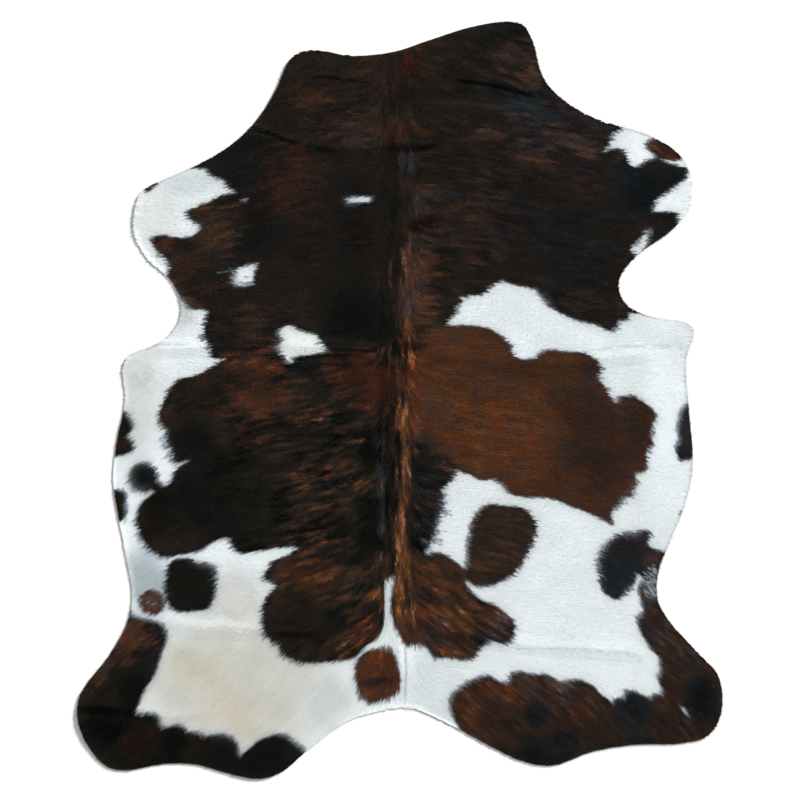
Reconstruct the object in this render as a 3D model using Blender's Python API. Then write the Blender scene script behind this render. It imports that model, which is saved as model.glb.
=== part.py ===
"""Cowhide rug: one whole hide with its hair on, lying flat on the floor.

Metres, +Z up, neck towards +Y, spine along Y. The floor is z = 0, and the origin lies under
the middle of the hide.
"""

import math
from collections import namedtuple

import bpy
import numpy as np
from mathutils.geometry import delaunay_2d_cdt

CM = 0.01
MM = 0.001

SKIN = 1.8 * MM
COAT = 3.2 * MM
RIM_THICKNESS = 3.4 * MM
RIM_FADE = 45 * MM
RIM_ROUND = 1.6 * MM

# How a fold fades at its ends and swells along its way, in half widths and as a share.
FADE_HALF_WIDTHS = 2.5
SWELL_HALF_WIDTHS = 3.7
SWELL = 0.18

# Spacing of the mesh's points, and the share of it that neighbouring rows keep apart.
EDGE_STEP = 16 * MM
FOLD_STEP = 26 * MM
FOLD_ROWS = (-1.0, -0.5, 0.0, 0.5, 1.0)
FIELD_STEP = 58 * MM
CLEARANCE = 0.6
CURVE_SAMPLES = 24
SAME_POINT = 0.1 * MM
SMOOTH_UP_TO = math.radians(50)

COAT_COLOUR = (0.045, 0.022, 0.013, 1.0)
COAT_ROUGHNESS = 0.55

Fold = namedtuple("Fold", "name path_cm height_mm half_width_cm")
Lift = namedtuple("Lift", "name x_cm y_cm radius_cm height_mm")

# The cut edge, clockwise from the left corner of the neck, as stretches of (x, y) in cm.
OUTLINE_CM = {
    "neck": (
        (-30.8, 95.2), (-27.0, 97.5), (-20.5, 97.7), (-14.5, 96.5), (-2.0, 97.6), (8.5, 101.0),
        (20.0, 104.6), (29.5, 106.0), (34.3, 105.0), (37.3, 100.0),
    ),
    "right shoulder": ((40.0, 90.5), (44.5, 85.0), (53.5, 79.2), (70.5, 73.6), (77.8, 69.0)),
    "right foreleg": ((81.0, 64.0), (81.8, 58.5), (80.6, 52.8), (75.5, 47.0), (66.5, 40.5)),
    "right armpit": ((62.0, 35.0), (61.3, 31.0), (63.5, 26.6), (68.5, 23.8), (80.0, 21.7)),
    "right belly": ((82.3, 19.3), (80.2, 11.5), (81.0, -4.0), (82.0, -17.0), (80.5, -27.0)),
    "right flank": ((75.5, -40.0), (72.4, -48.0), (72.2, -56.0), (75.0, -61.5)),
    "right hind leg": (
        (84.0, -71.4), (88.7, -76.5), (90.2, -82.5), (89.5, -89.0), (86.0, -94.2), (79.0, -96.1),
        (66.0, -96.5), (54.0, -98.4), (42.5, -102.4),
    ),
    "right of the tail": ((34.0, -101.0), (24.0, -96.2), (10.0, -88.8)),
    "tail": ((2.5, -86.2), (-6.0, -87.2), (-14.5, -89.8), (-25.0, -97.4)),
    "left hind leg": (
        (-34.0, -104.6), (-39.5, -106.0), (-47.0, -104.9), (-57.5, -102.0), (-66.0, -101.9),
        (-77.0, -103.7), (-82.0, -102.7), (-87.0, -97.4), (-90.2, -89.5), (-89.6, -82.8),
    ),
    "left flank": ((-81.0, -71.0), (-76.2, -62.0), (-75.0, -54.5), (-77.0, -42.0)),
    "left belly": ((-80.2, -23.5), (-79.4, -12.5), (-77.0, 0.0), (-77.5, 8.8), (-76.2, 12.1)),
    "left armpit": ((-68.3, 15.5), (-63.2, 19.8), (-61.3, 25.5), (-64.0, 33.2), (-70.8, 39.6)),
    "left foreleg": ((-74.3, 46.0), (-74.4, 52.0), (-72.4, 58.2), (-66.5, 61.4)),
    "left shoulder": ((-55.0, 66.6), (-46.0, 72.4), (-39.6, 79.0), (-35.2, 86.0)),
}

# The raised lines of the hide: its spine, and the soft creases left by folding it for storage.
FOLDS = (
    Fold("spine", ((-1.5, 92), (0.5, 55), (-1, 15), (-1.5, -45), (0.5, -82)), 5.0, 4.5),
    Fold("neck crease", ((-28, 88.5), (-2, 89)), 2.2, 2.6),
    Fold("right neck crease", ((8, 86.5), (36, 88.5)), 2.6, 2.8),
    Fold("left shoulder crease", ((-44, 74), (-21, 70.5), (-4, 71)), 3.0, 3.0),
    Fold("withers crease", ((3, 68), (14, 73)), 2.4, 2.8),
    Fold("left middle crease", ((-72, 14), (-40, 15.5), (-6, 14)), 3.4, 3.0),
    Fold("right middle crease", ((6, 13), (40, 9.5), (74, 13.5)), 3.0, 3.2),
    Fold("left rump crease", ((-67, -63.5), (-38, -66), (-14, -64)), 2.6, 3.0),
    Fold("right rump crease", ((14, -66), (42, -69.5), (72, -71.5)), 2.4, 3.0),
    Fold("left leg crease", ((-86, -86), (-66, -89), (-50, -88)), 2.6, 2.8),
)

# Places where the edge has dried a little off the floor.
LIFTS = (
    Lift("left neck corner", -29, 99, 12, 4.0),
    Lift("right neck corner", 36, 107, 13, 5.0),
    Lift("right foreleg end", 85, 59, 14, 5.5),
    Lift("right belly corner", 86, 20, 11, 4.5),
    Lift("right hind leg end", 94, -85, 15, 6.0),
    Lift("left hind leg end", -94, -92, 15, 6.0),
    Lift("left hind leg hem", -40, -110, 12, 4.0),
    Lift("left belly corner", -80, 12, 10, 4.0),
    Lift("left foreleg end", -79, 53, 13, 5.0),
)


def clear_scene():
    for obj in list(bpy.data.objects):
        bpy.data.objects.remove(obj, do_unlink=True)


def smooth(t):
    """0 to 1 with level ends."""
    t = np.clip(t, 0.0, 1.0)
    return t * t * (3.0 - 2.0 * t)


def closed_curve(knots):
    """Many points of a smooth closed curve through the knots, free of loops at close ones."""
    points = []
    count = len(knots)
    for i in range(count):
        a, b, c, d = (knots[(i + k) % count] for k in (-1, 0, 1, 2))
        before, along, after = (math.sqrt(np.linalg.norm(q - p)) for p, q in ((a, b), (b, c), (c, d)))
        leave = (c - b) / along - (c - a) / (before + along) + (b - a) / before
        arrive = (d - c) / after - (d - b) / (along + after) + (c - b) / along
        for t in np.arange(CURVE_SAMPLES) / CURVE_SAMPLES:
            rest = 1.0 - t
            hermite = b * (1 + 2 * t) * rest * rest + c * t * t * (3 - 2 * t)
            points.append(hermite + along * (leave * t * rest * rest - arrive * t * t * rest))
    return np.array(points)


def spaced(points, step, closed):
    """Points at even distances of about one step along a line."""
    line = np.vstack([points, points[:1]]) if closed else np.asarray(points, float)
    along = np.concatenate([[0.0], np.cumsum(np.linalg.norm(np.diff(line, axis=0), axis=1))])
    count = max(2, round(along[-1] / step))
    places = np.linspace(0.0, along[-1], count + 1)[: count if closed else count + 1]
    return np.column_stack([np.interp(places, along, line[:, k]) for k in (0, 1)])


def outward_of(ring):
    """Unit vectors pointing out of a clockwise ring."""
    run = np.roll(ring, -1, axis=0) - np.roll(ring, 1, axis=0)
    out = np.column_stack([-run[:, 1], run[:, 0]])
    return out / np.linalg.norm(out, axis=1, keepdims=True)


def outline():
    """The cut edge as evenly spaced points around the origin, in metres."""
    knots = [np.array(point) * CM for stretch in OUTLINE_CM.values() for point in stretch]
    ring = spaced(closed_curve(knots), EDGE_STEP, closed=True)
    return ring - (ring.min(axis=0) + ring.max(axis=0)) / 2


def inside(points, ring):
    """Which points lie inside the ring."""
    found = np.zeros(len(points), bool)
    for a, b in zip(ring, np.roll(ring, -1, axis=0)):
        crosses = (a[1] > points[:, 1]) != (b[1] > points[:, 1])
        slope = (b[0] - a[0]) / (b[1] - a[1]) if b[1] != a[1] else 0.0
        found ^= crosses & (points[:, 0] < a[0] + slope * (points[:, 1] - a[1]))
    return found


def along_line(points, line):
    """Each point's distance from an open line, and how far along the line that is."""
    distance = np.full(len(points), np.inf)
    place = np.zeros(len(points))
    start = 0.0
    for a, b in zip(line[:-1], line[1:]):
        length = np.linalg.norm(b - a)
        t = np.clip((points - a) @ (b - a) / length**2, 0.0, 1.0)
        d = np.linalg.norm(points - a - t[:, None] * (b - a), axis=1)
        nearer = d < distance
        distance[nearer] = d[nearer]
        place[nearer] = start + t[nearer] * length
        start += length
    return distance, place, start


def fold_height(points, fold):
    """A soft ridge with a rounded crest that fades out at both ends and swells along its way."""
    distance, place, length = along_line(points, np.array(fold.path_cm) * CM)
    width = fold.half_width_cm * CM
    across = smooth(1.0 - distance / width)
    fade = FADE_HALF_WIDTHS * width
    ends = smooth(place / fade) * smooth((length - place) / fade)
    swell = 1.0 - SWELL + SWELL * np.cos(place / (SWELL_HALF_WIDTHS * width))
    return fold.height_mm * MM * across * ends * swell


def lift_height(points, lift):
    centre = np.array((lift.x_cm, lift.y_cm)) * CM
    distance = np.linalg.norm(points - centre, axis=1)
    return lift.height_mm * MM * smooth(1.0 - distance / (lift.radius_cm * CM))


def floor_gap(points):
    """How far the skin is off the floor: nothing over most of the hide."""
    heights = [fold_height(points, fold) for fold in FOLDS]
    heights += [lift_height(points, lift) for lift in LIFTS]
    return np.max(heights, axis=0)


def thickness(points, ring):
    """Skin and flat-lying hair, thinner towards the trimmed edge."""
    distance = np.min([np.linalg.norm(points - a, axis=1) for a in ring], axis=0)
    return RIM_THICKNESS + (SKIN + COAT - RIM_THICKNESS) * smooth(distance / RIM_FADE)


def fold_rows():
    """Points in rows along each fold: its crest, its shoulders and its feet."""
    rows = []
    for fold in FOLDS:
        crest = spaced(np.array(fold.path_cm) * CM, FOLD_STEP, closed=False)
        run = np.gradient(crest, axis=0)
        side = np.column_stack([-run[:, 1], run[:, 0]]) / np.linalg.norm(run, axis=1)[:, None]
        for share in FOLD_ROWS:
            rows.append(crest + side * share * fold.half_width_cm * CM)
    return np.vstack(rows)


def field_points(ring):
    """Points in staggered rows over the whole hide."""
    low, high = ring.min(axis=0), ring.max(axis=0)
    row_step = FIELD_STEP * math.sqrt(3) / 2
    points = []
    for row, y in enumerate(np.arange(low[1], high[1], row_step)):
        shift = FIELD_STEP / 2 if row % 2 else 0.0
        points += [(x, y) for x in np.arange(low[0] + shift, high[0], FIELD_STEP)]
    return np.array(points)


def apart(points, others, distance):
    """The points that keep a distance from all the others."""
    nearest = np.array([np.min(np.linalg.norm(others - p, axis=1)) for p in points])
    return points[nearest > distance]


def thinned(points, distance):
    """The points in order, without those too near one that was kept."""
    kept = points[:1]
    for p in points[1:]:
        if np.min(np.linalg.norm(kept - p, axis=1)) > distance:
            kept = np.vstack([kept, p])
    return kept


def plan_mesh(ring):
    """The hide seen from above: its points, the ring's first, and triangles turned upwards."""
    folds = fold_rows()
    folds = folds[inside(folds, ring)]
    folds = thinned(apart(folds, ring, EDGE_STEP * CLEARANCE), EDGE_STEP * CLEARANCE)
    field = field_points(ring)
    field = field[inside(field, ring)]
    field = apart(field, np.vstack([ring, folds]), FIELD_STEP * CLEARANCE)
    points = np.vstack([ring, folds, field])
    edge = list(range(len(ring)))
    made, _, faces, sources, _, _ = delaunay_2d_cdt(points.tolist(), [], [edge], 1, SAME_POINT)
    if len(made) != len(points) or any(len(source) != 1 for source in sources):
        raise ValueError("the outline crosses itself or two points meet")
    return points, [[sources[v][0] for v in face] for face in faces]


def hide_mesh():
    ring = outline()
    inner = ring - outward_of(ring) * RIM_ROUND
    plan, triangles = plan_mesh(inner)
    gap = floor_gap(plan)
    depth = thickness(plan, ring)
    count, around = len(plan), len(ring)
    top = np.column_stack([plan, gap + depth])
    underside = np.column_stack([plan, gap])
    rim = np.column_stack([ring, (gap + depth / 2)[:around]])
    points = np.vstack([top, underside, rim])
    faces = [tuple(face) for face in triangles]
    faces += [tuple(count + v for v in reversed(face)) for face in triangles]
    for a in range(around):
        b = (a + 1) % around
        faces.append((a, b, 2 * count + b, 2 * count + a))
        faces.append((2 * count + a, 2 * count + b, count + b, count + a))
    mesh = bpy.data.meshes.new("hide")
    mesh.from_pydata(points.tolist(), [], faces)
    mesh.validate()
    mesh.shade_smooth()
    mesh.set_sharp_from_angle(angle=SMOOTH_UP_TO)
    return mesh


def coat_material():
    material = bpy.data.materials.new("brown and white coat")
    material.use_nodes = True
    shader = material.node_tree.nodes["Principled BSDF"]
    shader.inputs["Base Color"].default_value = COAT_COLOUR
    shader.inputs["Roughness"].default_value = COAT_ROUGHNESS
    shader.inputs["Metallic"].default_value = 0.0
    return material


def main():
    clear_scene()
    mesh = hide_mesh()
    mesh.materials.append(coat_material())
    hide = bpy.data.objects.new("hide", mesh)
    bpy.context.scene.collection.objects.link(hide)


if __name__ == "__main__":
    main()
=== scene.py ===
# Cowhide rug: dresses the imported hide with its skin, its short hair and a plain studio.
import functools
import math
from collections import namedtuple

import bpy
import numpy as np
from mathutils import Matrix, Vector
from mathutils.bvhtree import BVHTree


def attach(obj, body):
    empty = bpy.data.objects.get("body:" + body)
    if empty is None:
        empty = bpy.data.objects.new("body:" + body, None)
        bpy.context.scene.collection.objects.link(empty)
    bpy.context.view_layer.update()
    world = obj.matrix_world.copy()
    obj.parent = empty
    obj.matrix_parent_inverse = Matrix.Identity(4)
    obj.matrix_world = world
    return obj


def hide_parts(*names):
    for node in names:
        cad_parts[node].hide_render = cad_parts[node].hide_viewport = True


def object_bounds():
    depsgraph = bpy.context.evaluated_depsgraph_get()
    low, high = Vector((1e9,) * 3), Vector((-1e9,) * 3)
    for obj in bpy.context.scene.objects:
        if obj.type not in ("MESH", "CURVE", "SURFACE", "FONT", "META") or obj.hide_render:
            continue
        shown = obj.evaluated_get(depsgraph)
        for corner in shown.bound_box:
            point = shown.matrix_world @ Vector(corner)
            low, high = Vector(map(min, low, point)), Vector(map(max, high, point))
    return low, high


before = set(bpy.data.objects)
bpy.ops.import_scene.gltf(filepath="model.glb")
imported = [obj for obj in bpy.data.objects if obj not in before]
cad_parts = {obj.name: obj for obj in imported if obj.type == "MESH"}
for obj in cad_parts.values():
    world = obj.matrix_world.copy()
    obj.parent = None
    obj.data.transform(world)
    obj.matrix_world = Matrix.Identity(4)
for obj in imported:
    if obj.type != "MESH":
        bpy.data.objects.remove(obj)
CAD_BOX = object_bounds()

bl_info = {
    "name": "Cowhide Rug",
    "version": (1, 0, 0),
    "blender": (4, 5, 0),
    "location": "View3D > Sidebar > Cowhide",
    "description": "Skin, short brown and white hair and a studio for a cowhide rug",
    "category": "Object",
}

CM = 0.01
MM = 0.001

# Where the middle of the coat's plan lies in the frame.
PLAN_SHIFT_CM = np.array((0.07, 0.0))

# The plan's charts: how far they reach past the hide, their steps, how far from the cut edge its
# distance is looked for, and how high and deep the wall along it goes for that.
CHART_MARGIN = 60 * MM
COAT_STEP, GROUND_STEP = 2.5 * MM, 4 * MM
EDGE_REACH, WALL_HALF = 90 * MM, 100 * MM

# Points of a curve from one knot to the next.
CURVE_SAMPLES = 8

Patch = namedtuple("Patch", "name coat tone brindle edge_cm")
Fleck = namedtuple("Fleck", "name coat tone x_cm y_cm long_cm wide_cm turn")
Tone = namedtuple("Tone", "name x_cm y_cm long_cm wide_cm turn tone red bloom")
Pale = namedtuple("Pale", "name x_cm y_cm long_cm wide_cm turn warm dim")
Reach = namedtuple("Reach", "name x_cm y_cm long_cm wide_cm turn reach_mm soft")
Brindle = namedtuple("Brindle", "name x_cm y_cm long_cm wide_cm turn share")
Roan = namedtuple("Roan", "name x_cm y_cm long_cm wide_cm turn share")
Crease = namedtuple("Crease", "name depth_mm half_width_mm path_cm")

# The coat's patches in cm from the middle of the plan, later ones over earlier ones. Tone runs
# from 0, blue-black, to 1, orange-tan; brindle is how strongly darker and lighter streaks mix.
PATCHES = (
    Patch("mantle", "dark", 0.28, 0.4, (
        (-50, 112), (60, 112), (95, 85), (95, 40), (70, 28), (67, 24.4), (65.2, 24.4),
        (63.8, 24.2), (63.1, 22.5), (60.8, 22.4), (60.6, 21.1), (59.2, 19.8), (58.4, 19.2),
        (56, 20.2), (53.6, 21.4), (49.6, 22.2), (47.2, 23.2), (44.4, 24.4), (42.4, 25.6),
        (40.4, 26.8), (39.2, 28.2), (38.4, 29.7), (37.2, 31.1), (32.4, 32.1), (30, 32.8),
        (28, 33.6), (26.8, 32.9), (24.9, 31.8), (23.6, 30.2), (21.6, 29.4), (18.4, 29.2),
        (16.1, 28.4), (17.5, 27.8), (15.8, 26.7), (15.2, 25.6), (14.7, 23.8), (13.4, 22.5),
        (12.8, 20.9), (8, 17), (0, 12), (-20, 9), (-40, 8), (-48.6, 11.5), (-52.1, 11.8),
        (-52.8, 15.1), (-54.6, 18.2), (-54, 22.1), (-53.4, 25), (-56.6, 25.3),
        (-58.5, 25.8), (-60.5, 28), (-62.5, 30), (-68, 35), (-80, 40), (-85, 70), (-60, 80),
    )),
    Patch("left flank", "dark", 0.28, 0.95, (
        (-52.8, 9.0), (-57.3, 6.7), (-60.5, 6.2), (-63.3, 4.2), (-65.5, 0.3), (-67.2, -4.2),
        (-66.9, -6.2), (-65.0, -8.4), (-65.1, -11.2), (-63.6, -14.6), (-62.9, -17.3),
        (-58.8, -16.8), (-62.3, -19.3), (-63.7, -22.7), (-66.4, -24.6), (-70.6, -27.2),
        (-72.8, -30.0), (-73.4, -33.6), (-71.7, -39.3), (-68.8, -42.3), (-65.5, -43.8),
        (-60.5, -43.0), (-55.4, -42.0), (-51.5, -39.5), (-47.6, -38.6), (-46.3, -41.2),
        (-44.5, -42.7), (-40.0, -42.3), (-34.2, -41.4), (-28.6, -41.2), (-20, -48), (-5, -50),
        (6.3, -43.1), (7.3, -41.4), (9.8, -37.0), (10.4, -33.6), (11.8, -30.0), (11.8, -24.6),
        (13.7, -22.7), (15.4, -19.3), (14, 0), (10, 12), (0, 20), (-44, 14), (-48.6, 11.5),
    )),
    Patch("right flank", "dark", 0.68, 0.22, (
        (14.2, 20.8), (16.4, 21), (20.4, 20.8), (23.2, 20.4), (25.2, 19.7), (27.2, 18.6),
        (28.6, 17.4), (30.4, 15.5), (31.6, 12.5), (34.2, 11.5), (36.8, 11.8), (40, 14),
        (45.9, 13.7), (51.5, 13.2), (54.9, 10.9), (56, 8), (54.9, 6.7), (56.8, 4.1), (57.9, 2),
        (59, 0.1), (59.9, -0.9), (60.8, 1.2), (63.3, 1.2), (64.5, 1.6), (66.7, 0.2),
        (68.5, -0.9), (69.9, -1.9), (71.4, -4.2), (71, -6.1), (70.2, -7.9), (70.1, -10.3),
        (70.8, -12.4), (69.7, -12.6), (68.7, -14.9), (68.8, -17), (67.9, -20.1), (66, -20.1),
        (65.7, -22), (65.6, -23.9), (64.5, -25.9), (64.5, -27.1), (62.2, -27.3), (61.3, -28.8),
        (60.3, -29.8), (58.8, -31.5), (59, -33.2), (59.2, -35.1), (57.4, -34), (54.8, -32.6),
        (51.6, -31.1), (48.4, -29.9), (46.1, -29), (42, -27.5), (33, -26.9), (30.5, -26.3),
        (27.7, -23.5), (25.2, -22.1), (22.1, -22.4), (18.8, -20.7), (15.4, -19.3),
        (12.3, -15.8), (8.5, -13), (3.8, -10.5), (3, 6), (8, 20),
    )),
    Patch("left rump", "dark", 0.42, 0.8, (
        (-30.8, -43.1), (-34.7, -44.9), (-36.7, -47.3), (-37.7, -49.8), (-34.4, -51.8),
        (-36.8, -54.9), (-38.2, -58.8), (-38.1, -63.3), (-36.9, -66.4), (-34.2, -68.3),
        (-32.8, -70.6), (-29.7, -72.5), (-25.8, -73.4), (-19.9, -73.1), (-15.4, -72.5),
        (-11.6, -71.4), (-9.8, -69.2), (-5.9, -66.1), (-4.5, -62.7), (-4.2, -56.3),
        (-4.0, -49.8), (-2.6, -49.0), (-3, -44), (-15, -40), (-25, -40),
    )),
    Patch("right rump", "dark", 0.62, 0.8, (
        (-1.4, -49.0), (-2.2, -53.5), (-2.5, -57.4), (-1.9, -61.3), (0.1, -65.8), (1.8, -68.2),
        (6.3, -68.3), (7.8, -69.7), (9.2, -71.7), (13.7, -72.0), (18.2, -72.5), (20.2, -72.0),
        (22.1, -69.4), (24.9, -67.2), (27.2, -67.8), (29.7, -68.0), (31.6, -65.2),
        (31.9, -62.7), (30.5, -60.5), (25.9, -57.1), (21.3, -55.2), (18.5, -52.1),
        (16.8, -46.5), (13.7, -44.2), (10.4, -42.3), (6.3, -43.1), (2, -42), (-1, -45),
    )),
    Patch("oval spot", "dark", 0.5, 0.45, (
        (23.9, -29.1), (27.5, -29.4), (34, -30.2), (36.6, -32.5), (37.9, -35),
        (37.3, -38.1), (35.4, -42.7), (32.1, -47.9), (28.9, -50.1), (25, -51.8),
        (21.1, -51.8), (18.3, -50.4), (16.7, -48), (17.9, -46.2), (18.2, -42.6),
        (18.8, -37), (20.2, -32.5),
    )),
    Patch("tail spot", "dark", 0.78, 0.4, (
        (-4.4, -68.8), (-8, -69.6), (-11.5, -72.4), (-12.2, -77.7), (-10.9, -82.5),
        (-8.5, -84.5), (-5.2, -83.9), (-0.6, -81.4), (0.1, -76.9), (-1, -72.4), (-2.4, -69.3),
    )),
    Patch("square spot", "dark", 0.2, 0.1, (
        (-64.2, -45.6), (-61.7, -44.2), (-55.8, -44.6), (-50.9, -46.9), (-50.8, -50.7),
        (-51.3, -54.6), (-53.3, -58.2), (-57.1, -58.8), (-62.2, -58.9), (-64.6, -56.6),
        (-65.2, -52.1), (-64.8, -48.1),
    )),
    Patch("left hind leg", "dark", 0.2, 0.45, (
        (-73.5, -60.3), (-69, -61.4), (-65.4, -63), (-64.8, -66.3), (-66.3, -71.2),
        (-68.5, -77.1), (-71, -81), (-72.4, -84.5), (-73.3, -87.2), (-72.2, -87.5),
        (-70.4, -87.2), (-68.6, -87.4), (-66.8, -88.8), (-66.5, -90.5), (-64.7, -91.2),
        (-63, -90.5), (-61.2, -90.5), (-59.8, -91.2), (-58.8, -92.2), (-56.7, -92.4),
        (-55.3, -92.8), (-54, -93.5), (-52.1, -93.2), (-49.3, -93.2), (-47.2, -93.5),
        (-45.5, -95), (-44.7, -96.4), (-44.7, -98), (-43.7, -98.4), (-42, -97.2),
        (-40.2, -95.8), (-38.1, -94.4), (-35.7, -93.5), (-32.9, -93), (-30.4, -94.2),
        (-28.3, -95.8), (-26.2, -97.8), (-30, -112), (-60, -112), (-95, -110), (-97.6, -79.8),
        (-84.6, -59.8), (-76.6, -57.8),
    )),
    Patch("right hind leg", "dark", 0.48, 0.5, (
        (66.5, -59.9), (66, -62.5), (67.4, -65.5), (69.9, -69.7), (72.2, -72.2),
        (72.3, -74), (72.6, -75.8), (71.9, -76.8), (71.9, -78.7), (72.8, -80), (72.9, -81.8),
        (71, -81.8), (69.1, -83), (66.8, -81.8), (64.2, -80.8), (62.5, -81.2), (62.6, -82.2),
        (61.6, -83), (59.7, -83), (59.1, -84.2), (57.4, -83), (55.3, -81.5), (54.1, -80),
        (51.8, -78.7), (49, -77.8), (46, -78.3), (43.6, -78.2), (41.5, -76.8), (38.7, -76.3),
        (36.2, -76.3), (33.6, -75.7), (30.7, -76.2), (30.1, -77.8), (28.7, -78.8), (26.8, -78.2),
        (24.5, -76.8), (22.4, -77), (20.3, -78), (18.2, -78.8), (15.2, -81.2), (13.9, -82.5),
        (13.5, -84.7), (14.3, -88.2), (15.7, -90.7), (25, -105), (50, -110), (95, -105),
        (98, -75), (85, -58), (76, -55),
    )),
    Patch("right black patch", "dark", 0.34, 0.15, (
        (58.8, -38.1), (61.3, -37), (65, -36.6), (69.3, -36.3), (68.9, -40), (70.3, -41.2),
        (73.8, -42.3), (80, -45), (78, -60), (68.4, -60.1), (67, -55.4), (66.2, -52.4),
        (67.8, -49.8), (65.9, -48.3), (65.4, -50.6), (63.1, -53.2), (60.7, -55.6),
        (56.2, -53.2), (54.9, -49.8), (54.5, -45.4), (56, -40.9),
    )),
    Patch("upper left edge spot", "dark", 0.2, 0.1, (
        (-79, -2.5), (-76.6, -3.1), (-74.5, -5.6), (-74.5, -8.3), (-75.5, -9.4), (-74.2, -11.4),
        (-74.0, -13.5), (-76, -14.6), (-77.6, -15.2), (-80, -15.7), (-84, -12), (-84, -5),
    )),
    Patch("lower left edge spot", "dark", 0.2, 0.1, (
        (-79.5, -24.6), (-76.9, -25.2), (-76.1, -26.9), (-76.4, -28.6), (-76.1, -30.7),
        (-76.8, -32.9), (-79, -34.2), (-85, -30),
    )),
    Patch("right edge spot", "dark", 0.2, 0.1, (
        (80.9, -0.6), (78.6, -2.6), (77.4, -6.2), (77.4, -9), (77.8, -10.8), (76.9, -12.3),
        (76.8, -14.2), (77.4, -15.5), (77.9, -16.8), (79.6, -16.4), (82, -16.2), (88, -16.6),
        (88, -1.2),
    )),
    Patch("left shoulder white", "white", 0, 0, (
        (-58.3, 65.4), (-53.8, 64.5), (-52.1, 62.7), (-49.3, 61.9), (-47.6, 59.6),
        (-45.6, 58.1), (-50.1, 57.4), (-52.4, 55.7), (-55.4, 54.6), (-59.1, 52.6),
        (-58.8, 51.0), (-55.4, 48.4), (-58.0, 45.9), (-63.0, 45.6), (-65.2, 46.2),
        (-68.9, 45.4), (-68.6, 43.0), (-66.4, 40.7), (-64.1, 37.9), (-65.4, 34.6), (-75, 30),
        (-90, 45), (-90, 65), (-65, 72),
    )),
    Patch("white square", "white", 0, 0, (
        (-39.4, 38.2), (-42, 37.8), (-44.6, 36.7), (-45.2, 34.6), (-45.4, 32.3), (-40.8, 32.3),
        (-40.5, 35.3),
    )),
    Patch("white island", "white", 0, 0, (
        (-31, 20.9), (-26.7, 19.4), (-23.3, 18.4), (-21.7, 16.4), (-20, 13.7),
        (-23.6, 12.9), (-28.4, 12), (-30.2, 10.2), (-31.8, 12.3), (-33.6, 14.8),
        (-32.4, 17), (-33.3, 19.1),
    )),
    Patch("right foreleg pocket", "white", 0, 0, (
        (61.9, 76.2), (58.8, 74.2), (58.0, 71.3), (56.6, 69.4), (59.4, 70.6), (62.2, 69.7),
        (63.6, 66.8), (65.5, 65.2), (67.8, 66.8), (71.1, 68.3), (68.6, 70.3), (68.3, 72.0),
        (70.3, 73.6), (72, 80), (64, 82),
    )),
    Patch("right foreleg strip", "white", 0, 0, (
        (72.8, 67.2), (77.3, 65.5), (79.8, 65.0), (79.5, 62.2), (76.2, 59.6), (73.4, 57.7),
        (70.8, 55.2), (70.3, 52.9), (74.2, 52.6), (77.0, 52.4), (77.3, 50.1), (84, 45),
        (92, 60), (85, 72), (78.7, 67.5),
    )),
    Patch("right armpit fleck", "white", 0, 0, (
        (69.4, 48.4), (67.5, 45.9), (65.5, 44.0), (64.4, 42.0), (66.4, 39.8), (68.0, 42.0),
        (68.6, 44.8),
    )),
)

# Small ovals of white or dark hair, over the patches.
FLECKS = (
    Fleck("shoulder fleck", "white", 0, -10.9, 56.2, 4.3, 1.1, 3),
    Fleck("tiny shoulder fleck", "white", 0, -42.8, 56.0, 0.6, 0.4, 0),
    Fleck("hind leg sliver", "white", 0, 79.1, -86.5, 1.8, 0.45, -60),
    Fleck("belly spot", "dark", 0.14, -71.4, -21.3, 4.9, 5.0, -30),
    Fleck("belly spot's tail", "dark", 0.14, -67.6, -24.2, 3.6, 2.0, -40),
    Fleck("mottled spot", "dark", 0.8, -68.8, -56.3, 4.3, 4.1, 90),
    Fleck("right edge fleck", "dark", 0.6, 78.3, -31.6, 0.45, 1.3, -12),
    Fleck("left shoulder edge spot", "dark", 0.05, -69.4, 59.9, 3.0, 1.2, 38),
)

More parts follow.
